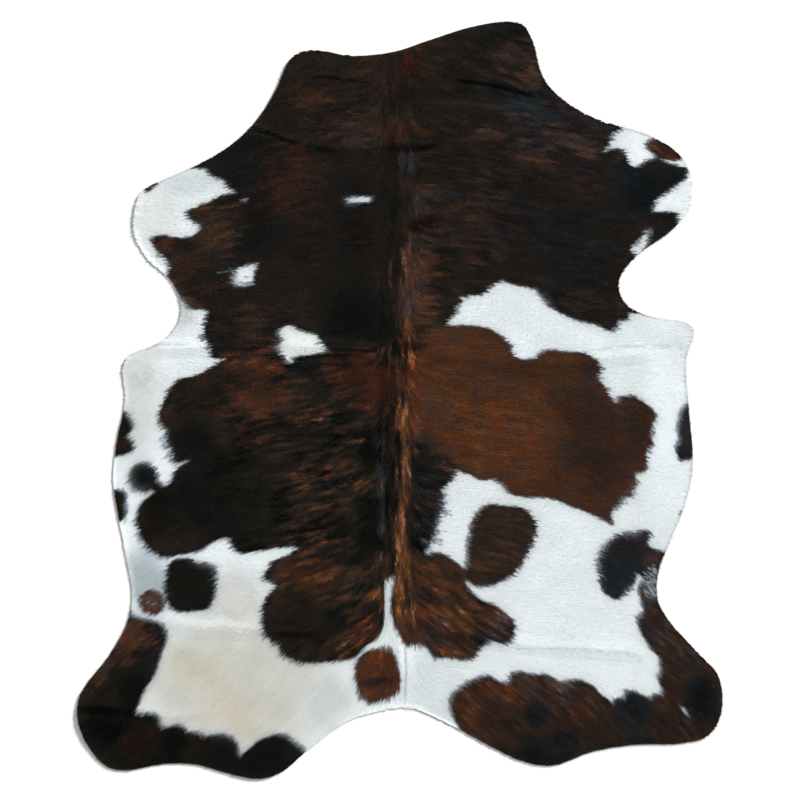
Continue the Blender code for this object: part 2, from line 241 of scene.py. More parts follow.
# Where the dark hair changes its tone, later ones over earlier ones: middle, half sizes and turn
# in degrees, then the tone, how red it is, and how much blue-grey lies on it: painted sheen on
# black hair and, where the hair is roan, grey.
TONES = (
    Tone("left of the mantle", -33, 55, 30, 32, 0, 0.25, 0.4, 0.25),
    Tone("right of the mantle", 38, 58, 32, 36, 0, 0.31, 0.35, 0.45),
    Tone("crown", 2.5, 95, 3.5, 6, 0, 0.4, 1, 0),
    Tone("left neck spot", -24, 84.5, 6, 4, 10, 0.46, 0.1, 0),
    Tone("left neck edge", -27, 92, 9, 4.5, 0, 0.27, 0, 0.1),
    Tone("middle of the neck", -10, 88, 7, 8, 0, 0.36, 0.4, 0.35),
    Tone("right neck bloom", 31, 97, 6, 4.5, 0, 0.62, 0.25, 0.4),
    Tone("golden fleck", 35.5, 90.5, 4.6, 3.6, 60, 0.7, 0, 0.2),
    Tone("black neck edge", 27, 103.5, 11, 4, 12, 0.28, 0, 0.6),
    # Painted shade along the right neck crease, with painted sheen on it.
    Tone("neck crease shade", 29, 87, 10, 1.0, -12, 0.24, 0, 0.8),
    Tone("blue shoulder", 37, 81, 11, 4.6, -25, 0.5, 0, 0.95),
    Tone("mauve neck", -10, 76, 11, 4.5, 5, 0.52, 0.3, 0.4),
    Tone("whorl", 1.5, 75.5, 4.8, 3.2, 0, 0.4, 0.75, 0),
    # Painted shade along the withers crease.
    Tone("whorl shade", 1.5, 71, 7, 1.1, 0, 0.14, 1, 0),
    # Along the left shoulder crease: a lighter band, and in it a painted dark line of shade.
    Tone("left crease shade", -32, 73.5, 11, 1.2, -19, 0.46, 0, 0.2),
    Tone("left crease line", -33, 73.4, 9.5, 0.55, -20, 0.0, 0, 0),
    Tone("left shoulder black", -45, 67, 7, 8, 30, 0.2, 0, 0.45),
    Tone("left shoulder red", -30, 61, 9, 10, 0, 0.42, 0.5, 0),
    Tone("elbow black", -39, 46, 10, 7, 0, 0.2, 0, 0.45),
    Tone("elbow brown", -53, 48, 8, 8, 0, 0.6, 0, 0.15),
    Tone("foreleg brown", -62, 36, 8, 9, 40, 0.38, 0.2, 0),
    Tone("foreleg tip", -65.5, 43, 4, 3, 0, 0.62, 0.1, 0),
    Tone("brown at the armpit", -57, 26.5, 4, 2.4, -30, 0.62, 0.2, 0.2),
    Tone("chest black", -14, 50, 6, 17, 0, 0.2, 0.2, 0.3),
    Tone("chest red", -9, 45, 5, 5.5, 0, 0.2, 0.5, 0),
    Tone("loin black", -11, 23, 11, 9.5, 0, 0.11, 0, 0.3),
    Tone("line by the spine", -1.9, 56, 1.2, 12, 0, 0.19, 0, 0.2),
    Tone("line at the loin", 0.3, 33, 1.45, 14, 0, 0.14, 0, 0.1),
    Tone("blue withers", 3.0, 67, 3.5, 3, 0, 0.64, 0, 1.0),
    Tone("mauve withers", 5.5, 55, 3.2, 6, 0, 0.52, 0, 0.5),
    Tone("mauve by the withers", 12, 57.5, 4.6, 2.6, 0, 0.42, 0, 0.85),
    Tone("red back", 5, 31, 6, 18, 0, 0.72, 0.2, 0.3),
    Tone("dark red withers", 6.5, 50, 4.5, 2.6, 0, 0.12, 1, 0),
    Tone("dark spot of the neck", 2.2, 86.3, 3.4, 2.1, 0, 0.16, 0.8, 0),
    Tone("brindle shoulder", 20, 50, 12, 11, 0, 0.42, 0.35, 0.35),
    Tone("orange flecks", 25, 74.5, 4, 2, 0, 0.6, 0.3, 0.6),
    Tone("rosy fleck", 36.5, 69, 7.5, 3, 0, 0.56, 0.4, 0.55),
    Tone("orange streak", 50, 71.5, 9, 3.2, -12, 0.68, 0.45, 0.6),
    Tone("rosy by the pocket", 61.5, 69, 3.5, 2, 0, 0.6, 0.35, 0.4),
    Tone("rosy neck side", 41, 73.5, 7.5, 3.6, -20, 0.6, 0.4, 0.6),
    Tone("blue corner", 55, 76.5, 6, 1.8, -25, 0.46, 0, 0.8),
    Tone("red fleck", 50, 55.5, 6, 1.8, -5, 0.36, 0.3, 0.35),
    Tone("foreleg black", 67, 59, 9, 8, 0, 0.22, 0, 1.0),
    Tone("foreleg corner", 78.5, 64, 3.4, 3, 0, 0.42, 0, 1.0),
    Tone("right shoulder black", 45, 44, 16, 11, -10, 0.24, 0, 0.6),
    Tone("armpit brown", 50, 26.5, 11, 4.5, 20, 0.38, 0.1, 0.4),
    Tone("armpit blue", 62.2, 28.6, 3.4, 2.6, 0, 0.5, 0, 0.8),
    Tone("foreleg spot", 74, 70, 4, 2.4, -20, 0.46, 0.3, 0),
    Tone("foreleg spot's top", 70.5, 72, 2.6, 1.7, -20, 0.76, 0.2, 0),
    Tone("foreleg dark brown", 73, 47.5, 4, 4.5, 0, 0.3, 0, 0.3),
    Tone("left loin black", -49.5, 20, 7, 10, 0, 0.25, 0, 0.2),
    Tone("left loin red", -41, 20.5, 4.6, 5, 0, 0.46, 0.25, 0.1),
    Tone("left flank orange", -39, 9.5, 8, 5.5, 0, 0.6, 0.25, 0),
    Tone("left flank red", -11.5, 7.5, 10.5, 7, 0, 0.46, 0.8, 0),
    Tone("red left of the spine", -6, 5, 3.6, 8.5, 0, 0.6, 0.9, 0),
    Tone("left flank blue spot", -26.2, 9.2, 5.2, 3.3, 0, 0.16, 0, 0.5),
    Tone("left flank mauve", -55, 1.5, 12, 7.5, 0, 0.27, 0.3, 0),
    Tone("left flank brown", -38, 0.5, 9.5, 7.5, 0, 0.55, 0.35, 0),
    Tone("left flank dark red", -42, -11, 5, 3.5, 0, 0.5, 0.8, 0),
    Tone("left flank black", -50, -28, 17, 15, 20, 0.13, 0, 0.1),
    Tone("left flank black side", -58, -12, 8, 7, 0, 0.13, 0, 0.1),
    Tone("black by the spine", -8.5, -13, 2.6, 6, 0, 0.02, 0, 0.1),
    Tone("brown bands by the spine", -11.5, -24, 4.5, 2.4, 0, 0.42, 0.1, 0),
    Tone("flecks by the spine", -13, -11.5, 3.5, 1.8, 0, 0.38, 0.1, 0),
    Tone("black by the spine, lower", -8.7, -36, 3, 9, 0, 0.08, 0, 0.1),
    Tone("black foot of the flank", -15, -43.6, 8, 2, 0, 0.13, 0, 0.1),
    Tone("left flank fleck", -22, -3, 4.5, 2.8, 0, 0.6, 0.4, 0),
    Tone("middle flecks", -24, -22, 6, 1.8, 6, 0.58, 0.1, 0),
    Tone("lower flecks", -22, -30.5, 3.8, 1.5, 3, 0.5, 0, 0),
    Tone("lowest flecks", -24, -38, 4.5, 1.5, 5, 0.6, 0, 0),
    Tone("rust by the island", -33.2, 10.4, 2.6, 1.8, 0, 0.9, 0.5, 0),
    Tone("left flank rim", -67, -33, 6, 7, 0, 0.12, 0.7, 0),
    Tone("line left of the spine", -5.1, -27, 1.0, 20, 0, 0.5, 0, 1.0),
    Tone("back strip", 8.5, -27, 5.8, 18, 8, 0.33, 0, 0.6),
    Tone("back strip foot", 7, -40.6, 2, 2, 0, 0.7, 0, 0.9),
    Tone("right flank middle", 25, -10, 15, 10, 0, 0.78, 0.35, 0),
    Tone("right flank red", 15, 14, 11, 6, 0, 0.7, 0.35, 0),
    Tone("right flank brown", 39, 8.5, 12, 4.5, 0, 0.57, 0.25, 0),
    Tone("right flank rim", 54, 8.5, 8, 4, 0, 0.5, 0, 0.25),
    Tone("right flank dark top", 49, 1.5, 8, 5, 0, 0.43, 0.2, 0.1),
    Tone("right flank edge", 66, -7.5, 6, 8, 0, 0.4, 0.25, 0.2),
    Tone("right flank corner", 55, -16, 12, 14, 0, 0.44, 0.25, 0.25),
    Tone("right flank foot", 47, -21, 8, 3, 0, 0.52, 0.2, 0.05),
    Tone("right flank dark", 53, -5, 11, 6, -20, 0.45, 0.25, 0.1),
    Tone("right flank hem", 40, -25, 11, 4, 0, 0.6, 0.25, 0),
    Tone("spine streak, middle", 1.3, -19, 1.45, 14, -2, 1.0, 0, 0),
    Tone("lower spine streak", 0.35, -34.5, 1.45, 16, -1, 0.95, 0, 0),
    Tone("left rump orange", -28, -47.5, 9, 5, 0, 0.5, 0.25, 0),
    Tone("left rump mauve", -29, -63, 9.5, 10, 0, 0.2, 0.3, 0),
    Tone("left rump black", -18, -61.5, 4.5, 4, 0, 0.18, 0, 0.2),
    Tone("left rump edge", -8, -62, 4, 9, -20, 0.5, 0.5, 0),
    Tone("left rump side", -5.2, -54.5, 1.8, 6.5, 0, 0.8, 0.1, 0.1),
    Tone("right rump orange", 7.5, -51.5, 8.5, 7, 0, 0.47, 0.1, 0),
    Tone("right rump bright fleck", 6.2, -59.5, 4, 3.4, 0, 1.0, 0.3, 0),
    Tone("right rump margin", -0.5, -53.5, 1.7, 6.5, 0, 0.93, 0.2, 0),
    Tone("right rump blue spot", 22, -66, 2.5, 2.5, 0, 0.36, 0, 1.0),
    Tone("right rump shade", 9, -65.5, 7, 2.6, -12, 0.66, 0, 0.2),
    Tone("right rump middle", 20.2, -57.4, 3.2, 2.6, 0, 0.4, 0.1, 0),
    Tone("right rump foot", -0.8, -63, 2, 3, 0, 0.25, 0.1, 0),
    Tone("right rump end", 28.5, -63.5, 4, 4, 0, 0.62, 0, 0.45),
    Tone("oval spot", 29, -40, 9, 12, 0, 0.46, 0, 0.25),
    Tone("tail spot", -6, -76, 9, 10, 0, 0.74, 0.4, 0),
    Tone("tail band", -6, -78.5, 6, 1.4, 8, 0.44, 0.6, 0),
    Tone("square spot", -58, -52, 9, 9, 0, 0.15, 0, 0.1),
    Tone("left hock brown", -75, -65, 7, 5.5, 60, 0.72, 0.1, 0),
    Tone("left hock dark brown", -83, -80.5, 5, 4, 45, 0.2, 0.2, 0),
    Tone("left hock edge", -83, -74, 7, 2.6, 64, 0.56, 0.1, 0),
    Tone("left hock black", -74, -81.5, 5, 6.5, 0, 0.06, 0, 0),
    # Painted shade along the left leg crease.
    Tone("left crease black", -82, -87, 9, 1.4, -6, 0.0, 0, 0),
    Tone("left foot black", -81, -92, 9, 5, 0, 0.0, 0, 0),
    Tone("left foot rim", -78, -99.5, 11, 3, -30, 0.12, 0, 0),
    Tone("left foot hem", -66, -102, 9, 2.6, 3, 0.1, 0, 0),
    Tone("left foot red", -72, -95, 7, 5, 0, 0.22, 1, 0),
    Tone("left hem black", -63, -96, 4, 5, 0, 0.04, 0, 0),
    Tone("left hem red", -57.5, -97, 2.5, 4.5, 0, 0.2, 1, 0),
    Tone("left hem", -42, -100, 13, 6, -6, 0.1, 0, 0),
    Tone("right hock mauve", 71, -65, 5, 5, 0, 0.5, 0, 0.45),
    Tone("right hock brown", 80, -72, 5.5, 3.5, -40, 0.52, 0, 0.75),
    Tone("right hock red", 76, -79, 3.5, 4.5, 0, 0.36, 0.4, 0),
    Tone("right foot blue", 84, -81, 5.5, 6, 0, 0.18, 0, 1.0),
    Tone("right foot rim", 82, -87, 4.5, 4, 0, 0.14, 0, 0.8),
    Tone("right foot hem", 66, -96.5, 13, 3, 0, 0.22, 0, 0.4),
    Tone("right foot mauve", 77, -90, 8, 4.5, 0, 0.37, 0.25, 0.3),
    Tone("right hem black", 64, -87, 6.5, 6.5, 0, 0.32, 0, 1.0),
    Tone("right hem mauve", 50, -83, 6, 4.5, 0, 0.62, 0.3, 0.4),
    Tone("right hem brown", 50, -90, 7, 4.5, 0, 0.46, 0.35, 0),
    Tone("right hem middle", 36, -80, 7, 3.5, 0, 0.68, 0.25, 0.65),
    Tone("right hem orange", 18, -85, 5, 6, 0, 0.57, 0.35, 0),
    Tone("right hem streaks", 27, -81, 6, 4, 0, 0.68, 0.35, 0.2),
    Tone("right hem blue spot", 37.5, -88, 3.5, 3.5, 0, 0.28, 0, 1.0),
    Tone("right hem red", 28, -91, 7, 5, -20, 0.34, 0.35, 0),
    Tone("right hem foot", 28, -98.6, 4, 3, 0, 0.24, 0.1, 0),
    Tone("right hem black bottom", 38, -97, 6, 5.5, 0, 0.22, 0, 0.2),
    Tone("right hem end", 38, -101.3, 13, 4.5, 0, 0.18, 0, 0.4),
    Tone("right hem top", 43.5, -79.3, 4.5, 2.2, 0, 0.9, 0, 0.5),
    Tone("right hem grey", 45.5, -95, 5, 3.5, 0, 0.28, 0, 0.6),
    Tone("right black patch", 61, -46, 9, 11, 0, 0.4, 0, 1.0),
    Tone("brown by the black patch", 70.3, -45, 3.2, 3.2, 0, 0.7, 0, 0.55),
    Tone("mottled spot", -68.5, -56, 4.5, 4.5, 0, 0.72, 0.2, 0.45),
    Tone("mottled spot's middle", -69.8, -57, 1.8, 2.2, 20, 0.88, 0.1, 0.5),
    Tone("mottled spot's top", -67.6, -53.8, 1.5, 1.1, 0, 0.8, 0, 0.6),
    Tone("upper left edge spot", -76, -7, 3, 5, 0, 0.15, 0, 0.1),
    Tone("upper left edge spot's foot", -76, -13, 3, 3, 0, 0.36, 0.8, 0),
    Tone("lower left edge spot", -78.5, -29, 3, 5, 0, 0.22, 0.8, 0),
    Tone("right edge spot", 80, -9, 5, 9, 0, 0.55, 0, 1.0),
    Tone("strip by the right leg", 69.5, -54, 3.5, 5, 0, 0.85, 0, 1.0),
    Tone("black beside the streak", -2.9, -26, 1.49, 20, 0, 0.25, 0, 0.1),
    Tone("brown of the spine", 1.4, 5, 3.6, 9.5, 0, 0.7, 0.8, 0),
    Tone("dark line of the spine", -2.9, 3, 0.6, 9, 0, 0.6, 1, 0),
    Tone("upper spine streak", 3.4, 0, 1.5, 10, 0, 0.7, 0.4, 0),
    Tone("orange by the spine", 4, -9, 1.4, 5, 0, 0.92, 0.4, 0),
    Tone("spine streak, top", 1.2, -5, 1.1, 8, -3, 0.82, 0.1, 0),
    Tone("dark band of the waist", 2.5, 15.3, 5, 1.3, 0, 0.34, 0.9, 0),
    Tone("streak by the right rump", 7.5, -63, 5, 1.2, -8, 0.55, 0, 0.2),
)

# Where the white hair is warmer or cooler, from 1 to -1, and how dull it is.
PALES = (
    Pale("left shoulder top", -58, 61, 11, 4, 0, -0.35, 0.61),
    Pale("left shoulder", -68, 52, 8, 9, 0, 0.1, 0.5),
    Pale("left armpit", -66, 26, 9, 8, 0, -0.1, 0.95),
    Pale("left belly", -73, 2, 8, 22, 0, 0.12, 0.68),
    Pale("left flank edge", -71, -50, 8, 10, 0, -1.0, 0.98),
    Pale("left thigh", -47, -55, 12, 10, 0, 0.18, 0.71),
    Pale("left leg", -46, -80, 36, 24, -8, 0.48, 0.74),
    Pale("left leg stain", -50, -82, 17, 6.5, -46, 0.78, 0.72),
    Pale("left leg whorl", -55.5, -80.5, 4, 3.5, 0, 0.5, 0.69),
    Pale("by the tail", -20, -84, 8, 7, 0, 0.08, 0.7),
    Pale("white island", -28, 16, 8, 6, 0, 0.05, 0.4),
    Pale("right shoulder", 42, 22, 30, 13, 0, -0.55, 0.25),
    Pale("right foreleg", 74, 60, 16, 16, 0, -0.5, 0.0),
    Pale("right belly", 75, -5, 8, 26, 0, -0.55, 0.12),
    Pale("right thigh", 48, -58, 26, 22, 0, -0.5, 0.27),
    Pale("right of the tail", 9, -80, 9, 12, 0, -0.5, 0.45),
    # Painted highlight: the lit side of the fold above the rump crease, lighter and cooler than the
    # leg around it.
    Pale("above the rump crease", -53, -61.8, 14, 1.5, -4, -0.1, 0.57),
)

# Where white or dark hair streams further over its neighbour than elsewhere, and how softly it
# fades there, from 0 to 1.
REACHES = (
    Reach("white square's left", -48.5, 34, 7, 5, 0, 95, 1.0),
    Reach("right belly border", 64, -28, 6, 8, 0, 20, 0.3),
    Reach("left belly border", -66, -14, 6, 8, 0, 30, 0.3),
    Reach("right black patch", 56.5, -43, 6.5, 10, 20, 48, 1.0),
    Reach("right black patch's top", 63.5, -37.6, 3.5, 2.5, 0, 30, 0.9),
    Reach("square spot's top", -53, -46, 5, 5, -30, 40, 0.9),
    Reach("belly spot", -72.5, -21, 6, 6, 0, 24, 0.5),
    Reach("white island's left", -36, 15, 5, 6, 0, 26, 0.7),
    Reach("mantle over the right belly", 40.5, 29.5, 3, 3.5, -30, 26, 0.8),
    Reach("shoulder fleck", -14.5, 55.7, 5, 2.5, 0, 40, 0.8),
    Reach("foreleg's lower border", -61, 30, 7, 4, -50, 24, 0.3),
    Reach("left hind hem", -47, -95, 5, 5, 0, 18, 0.4),
    Reach("back strip's edge", 10.5, -34, 4, 11, 0, 26, 0.35),
)

# Where the dark hair is less streaked than the rest of its patch: the share that is left.
BRINDLES = (
    Brindle("left flank's top", -46, 3, 24, 9, -8, 0.15),
    Brindle("left flank's side", -60, -12, 13, 10, 0, 0.1),
    Brindle("left flank's bottom", -58, -33, 18, 11, 0, 0.2),
    Brindle("left flank's red end", -8, 6, 9, 9, 0, 0.12),
    Brindle("left rump's middle", -28, -62, 8, 8, 0, 0.5),
    Brindle("left mantle", -30, 55, 24, 26, 0, 0.6),
    Brindle("left hock", -78, -70, 10, 13, 0, 0.45),
    Brindle("spine streak", 0.9, -27, 2, 20, 0, 0.45),
    Brindle("left foreleg", -60, 43, 12, 11, 0, 0.35),
    Brindle("right flank", 55, -12, 14, 14, 0, 0.5),
    Brindle("back strip", 9, -19, 6, 8, 0, 0.4),
)

# Where white and dark hairs mix: the share of white ones.
ROANS = (
    Roan("mottled spot", -67.5, -55.5, 2.5, 2.5, 0, 0.006),
    Roan("strip by the right leg", 69.8, -51.5, 3, 3.4, 0, 0.36),
    Roan("brown by the black patch", 69.5, -48, 2, 2, 0, 0.3),
)

# Sharp troughs along the hide's raised lines, where it was folded.
CREASES = (
    Crease("left rump crease", 0.5, 4, ((-68, -63.3), (-52, -64.3), (-38, -65.4), (-22, -66))),
    Crease("left middle crease", 0.6, 4, ((-76, 15.2), (-66, 15.4), (-58, 15.3))),
    Crease("loin crease", 0.5, 4, ((-20, 13.6), (-5, 13.8))),
    Crease("right middle crease", 0.5, 4, ((50, 13.0), (62, 14.8), (82, 14.9))),
    Crease("right rump crease", 0.45, 4, ((30, -70.2), (48, -69.9), (68, -71.2))),
    Crease("left shoulder crease", 1.5, 5, ((-43, 77.3), (-33, 73.2), (-24, 70.4), (-17, 69))),
    Crease("right neck crease", 1.5, 6, ((14, 89.5), (24, 88.3), (38, 85))),
    Crease("neck crease", 0.2, 5, ((-26, 90.8), (-14, 89.4), (-3, 87.8))),
    Crease("withers crease", 0.9, 5, ((-4, 70.5), (5, 70), (13, 72))),
    Crease("left leg crease", 1.5, 7, ((-90, -85.8), (-80, -87.2), (-67, -88.6))),
    Crease("tail crease", 0.5, 4, ((1.2, -66), (1.6, -76), (1.4, -86))),
)
# How far from its ends a crease reaches its full depth, and how much painted shade it lays on
# the hair and skin along it.
CREASE_FADE, CREASE_SHADE_TONE, CREASE_SHADE_DIM = 40 * MM, 0.3, 0.5

# The lie of the hair: the spine's place at some heights of the plan, and how steeply the hair
# turns back there, in degrees from straight out. It turns back further on the belly and near the
# spine, runs along the spine itself, wanders a little, and each lock strays from it.
SPINE_Y_CM = (-82, -45, 15, 55, 92)
SPINE_X_CM = (0.5, -1.5, -1.0, 0.5, -1.5)
LIE_Y_CM = (-105, -80, -60, -40, -20, 0, 20, 40, 60, 85, 105)
LIE_TURN = (50, 40, 28, 15, 12, 10, 9, 8, 8, 12, 18)
NEAR_TURN = (0, 10, 20, 28, 25, 5, 0, 0, 0, 0, 0)
BELLY_Y_CM = (-70, -45, -20, 10, 30)
BELLY_TURN = (0, 20, 30, 16, 0)
BELLY_FROM_CM, BELLY_OVER_CM = 46, 34
SPINE_TURN_CM, SPINE_TURN_POWER, NEAR_TURN_CM = 5.2, 6, 11
LIE_WANDER, LIE_WANDER_SIZE, LIE_SCATTER = 16, 90 * MM, 7
STRAIGHT_BACK = 90

# One seed for each random pattern, the side of a noise's table, and a number too small to see.
SEED = dict(
    roots=11, lie=21, warp_x=31, warp_y=32, wisp=41, side=42, jag=43, brindle=51, fine=52,
    cloud=53, patchy=72, red=81, bloom=82, speckle=91,
)
LATTICE = 256
TINY = 1e-3

# The tables' ovals: where they end and how far inwards they fade, in half sizes, and how much
# they cover at most. Streaks make them ragged, and soft noise bends all but the narrow ones.
BLOB_END, BLOB_FADE, BLOB_STRENGTH = 1.3, 0.9, 0.92
RAGGED, FINE_IN_RAGGED, NARROW_CM = 0.8, 0.5, 1.5
WARP, WARP_SIZE = 22 * MM, 38 * MM

# The borders of the patches: how far their colours, tones and rims run over, how jagged they
# are, and how much of the other colour and of a dull shade mixes in there.
SOFT_BORDER, TONE_BLEND, RIM_BLEND = 1.5 * MM, 8 * MM, 11 * MM
JAG, JAG_SIZE, SIDE_JITTER = 0.5, 7 * MM, 1.4 * MM
MIX_PALE, MIX_DIM, MIX_OVER, BORDER_DIM = 0.12, 0.6, 0.38, 0.7
USUAL_FADE = 0.14
RIM_SHADE, RIM_STEEPNESS = 0.12, 2.2
ROAN_WHITE, ROAN_TINT, SPECKLE_SIZE = 0.5, 0.3, 6 * MM
WISP_WIDTH, WISP_LENGTH, WISP_POWER = 4 * MM, 60 * MM, 2.0

# Inside the patches: white hair's usual shade, the sizes of the streaks and clouds, and how
# strongly they change the tone of dark hair and the dullness of white hair.
USUAL_WARM, USUAL_DIM = -0.4, 0.3
BRINDLE_WIDTH, BRINDLE_LENGTH = 9 * MM, 34 * MM
FINE_WIDTH, FINE_LENGTH = 4 * MM, 20 * MM
CLOUD_SIZE = 55 * MM
FEWEST_TAPS, STREAK_GAIN = 3, 0.98
BRINDLE_FULL_TONE = 0.42
FLECK_STRENGTH, FINE_STRENGTH, CLOUD_STRENGTH = 0.75, 0.35, 0.35
MEAN_OF_SQUARES = 1 / 3  # of even draws from 0 to 1
# How far the red cast and the painted sheen and roan grey wander at random, and how much.
CAST_SIZE, RED_CAST, SHEEN_AND_GREY_CAST = 26 * MM, 0.5, 0.6
PATCHY_DIM, STREAK_DIM = 0.12, 0.06

# A lock's form, from its root at 0 to its tip at 1, how it lies at the rim of the hide, and how
# white locks differ from dark ones.
LOCK_SIDES, LOCK_WIDEST = 3, 0.42
LOCK_ROOT_RISE, LOCK_SIDE_RISE, LOWEST_RISE = 0.04, 0.28, 0.85
WHITE_RISE, WHITE_WIDTH = 0.3, 1.15
ROOT_JITTER, ROOT_HALF = 0.75, 0.5
ROOT_INSET, OVERHANG, RIM_FADE = 0.6 * MM, 0.8 * MM, 45 * MM
TRIMS = (0.88, 0.75, 0.62, 0.5, 0.38, 0.26, 0.15)
UV_HALF = 0.42
SIDE_LEAN, TIP_LEAN = 0.1, 0.05
MOST_TRIANGLES = 200_000

# The skin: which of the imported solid's faces are its underside, which of its own carry hair, how
# many steps of a mm tell two points apart, its angles, and its flat size in metres.
UNDERSIDE_NORMAL, HAIR_SIDE_NORMAL = -0.9, 0.5
WELD_PER_MM = 100
FLAT_ANGLE, SMOOTH_ANGLE = math.radians(0.5), math.radians(40)

# Dark hair's colours from tone 0 to 1, and the step of tone from one to the next.
DARK_SHADES = ("jet", "black", "dark_brown", "chestnut", "brown", "warm_brown", "tan", "pale_tan")
SHADE_STEP = 0.15

# Single hairs drawn within a lock: their pattern, and what they and the lock's own number change.
HAIRS_ACROSS, HAIRS_OF_LOCK, HAIRS_TONE = 2.2, 37.0, 0.1
DARK_LIGHT, DARK_LIGHT_SPREAD = 0.82, 0.24
WHITE_LIGHT, WHITE_LIGHT_SPREAD = 0.99, 0.02
WHITE_UNDER_CAST = 0.2
ROUGH_OF_LOCK, ROUGH_OF_HAIRS = 0.1, 0.06
HAIR_BUMP, HAIR_BUMP_STRENGTH = 0.15 * MM, 0.5

# The skin between the roots: its grain, how ragged the patches' borders are on it, and its light,
# which is painted shade under the hair, lighter where the grain is.
GRAIN_SCALE, GRAIN_DETAIL, GRAIN_TONE, GRAIN_BUMP = 420.0, 2.0, 0.1, 0.3 * MM
BORDER_RAGGED, BORDER_FROM, BORDER_TO = 0.3, 0.25, 0.75
SKIN_LIGHT, SKIN_LIGHT_SPREAD = 0.85, 0.15
SKIN_ROUGH, SKIN_ROUGH_SPREAD, SKIN_SHINE = 0.6, 0.2, 0.2

# The suede: its nap, clouds and veins, and how much each of them lightens or darkens it.
NAP_SCALE, NAP_DETAIL, NAP_ROUGHNESS, NAP_BUMP = 900.0, 4.0, 0.65, 0.25 * MM
CLOUD_SCALE, CLOUD_DETAIL = 9.0, 3.0
VEIN_SCALE, VEIN_WIDTH = 26.0, 0.05
CLOUD_LIGHT, NAP_LIGHT, VEIN_SHADE = 0.7, 0.3, 0.12
SUEDE_ROUGH, SUEDE_ROUGH_SPREAD, SUEDE_SHINE = 0.86, 0.1, 0.25

# The studio: the floor's roughness, and where the room's brightness changes on its way up.
FLOOR_ROUGHNESS = 0.9
LOW_ROOM_TO, HIGH_ROOM_FROM = 0.25, 0.85


def smooth(t):
    """0 to 1 with level ends."""
    t = np.clip(t, 0.0, 1.0)
    return t * t * (3.0 - 2.0 * t)


def on_plan(point_cm):
    """A point of the coat's plan in the frame, in metres."""
    return (np.asarray(point_cm, float) + PLAN_SHIFT_CM) * CM


def closed_curve(knots):
    """Many points of a smooth closed curve through the knots, free of loops at close ones."""
    here = np.asarray(knots, float)
    last, there, beyond = (np.roll(here, -k, axis=0) for k in (-1, 1, 2))
    before, along, after = (
        np.sqrt(np.linalg.norm(end - start, axis=1, keepdims=True))
        for start, end in ((last, here), (here, there), (there, beyond))
    )
    leave = (there - here) / along - (there - last) / (before + along) + (here - last) / before
    arrive = (
        (beyond - there) / after - (beyond - here) / (along + after) + (there - here) / along
    )
    points = []
    for t in np.arange(CURVE_SAMPLES) / CURVE_SAMPLES:
        rest = 1.0 - t
        hermite = here * (1 + 2 * t) * rest * rest + there * t * t * (3 - 2 * t)
        points.append(hermite + along * (leave * t * rest * rest - arrive * t * t * rest))
    return np.stack(points, axis=1).reshape(-1, 2)


@functools.cache
def lattice(seed):
    """The random numbers at the corners of one noise's cells."""
    return np.random.default_rng(seed).random((LATTICE, LATTICE))


def noise(points, size, seed):
    """Soft noise from 0 to 1 that changes over about one size."""
    places = points / size
    cells = np.floor(places).astype(int)
    share_x, share_y = smooth(places - cells).T
    left, low = cells.T % LATTICE
    right, high = (left + 1) % LATTICE, (low + 1) % LATTICE
    table = lattice(seed)
    under = table[low, left] * (1 - share_x) + table[low, right] * share_x
    over = table[high, left] * (1 - share_x) + table[high, right] * share_x
    return under * (1 - share_y) + over * share_y


def streaks(points, way, width, length, seed):
    """Noise drawn out along the hair, from 0 to 1."""
    places = np.linspace(-length / 2, length / 2, max(FEWEST_TAPS, round(length / width)))
    total = sum(noise(points + way * place, width, seed) for place in places)
    gain = STREAK_GAIN * math.sqrt(len(places))
    return np.clip(0.5 + (total / len(places) - 0.5) * gain, 0.0, 1.0)


class Chart:
    """Values at even steps over the hide's plan, read between them."""

    def __init__(self, step):
        self.step = step
        self.low = np.array(CAD_BOX[0][:2]) - CHART_MARGIN
        high = np.array(CAD_BOX[1][:2]) + CHART_MARGIN
        self.columns, self.rows = np.ceil((high - self.low) / step).astype(int) + 1
        self.values = np.zeros((self.rows, self.columns))

    def points(self):
        across, up = np.meshgrid(np.arange(self.columns), np.arange(self.rows))
        return self.low + np.column_stack([across.ravel(), up.ravel()]) * self.step

    def holding(self, values):
        """A chart of the same places with these values."""
        made = Chart(self.step)
        made.values = np.asarray(values, float).reshape(self.rows, self.columns)
        return made

    def at(self, points):
        """The values at any points."""
        most = np.array((self.columns, self.rows)) - 1 - TINY
        places = np.clip((points - self.low) / self.step, 0, most)
        cells = places.astype(int)
        share_x, share_y = (places - cells).T
        left, low = cells.T
        v = self.values
        under = v[low, left] * (1 - share_x) + v[low, left + 1] * share_x
        over = v[low + 1, left] * (1 - share_x) + v[low + 1, left + 1] * share_x
        return under * (1 - share_y) + over * share_y

    def filled(self, curve):
        """Which points lie inside a closed curve."""
        found = np.zeros((self.rows, self.columns), bool)
        ahead = np.roll(curve, -1, axis=0)
        for row in range(self.rows):
            y = self.low[1] + row * self.step
            crosses = (curve[:, 1] > y) != (ahead[:, 1] > y)
            a, b = curve[crosses], ahead[crosses]
            x = np.sort(a[:, 0] + (y - a[:, 1]) / (b[:, 1] - a[:, 1]) * (b[:, 0] - a[:, 0]))
            ends = np.clip(np.ceil((x - self.low[0]) / self.step), 0, self.columns).astype(int)
            for start, stop in zip(ends[::2], ends[1::2]):
                found[row, start:stop] = True
        return found

    def blurred(self, values, width):
        """Values spread by a soft round brush."""
        up = np.fft.fftfreq(self.rows, self.step)[:, None]
        across = np.fft.rfftfreq(self.columns, self.step)
        brush = np.exp(-2 * (math.pi * width) ** 2 * (up**2 + across**2))
        return np.fft.irfft2(np.fft.rfft2(values) * brush, s=(self.rows, self.columns))


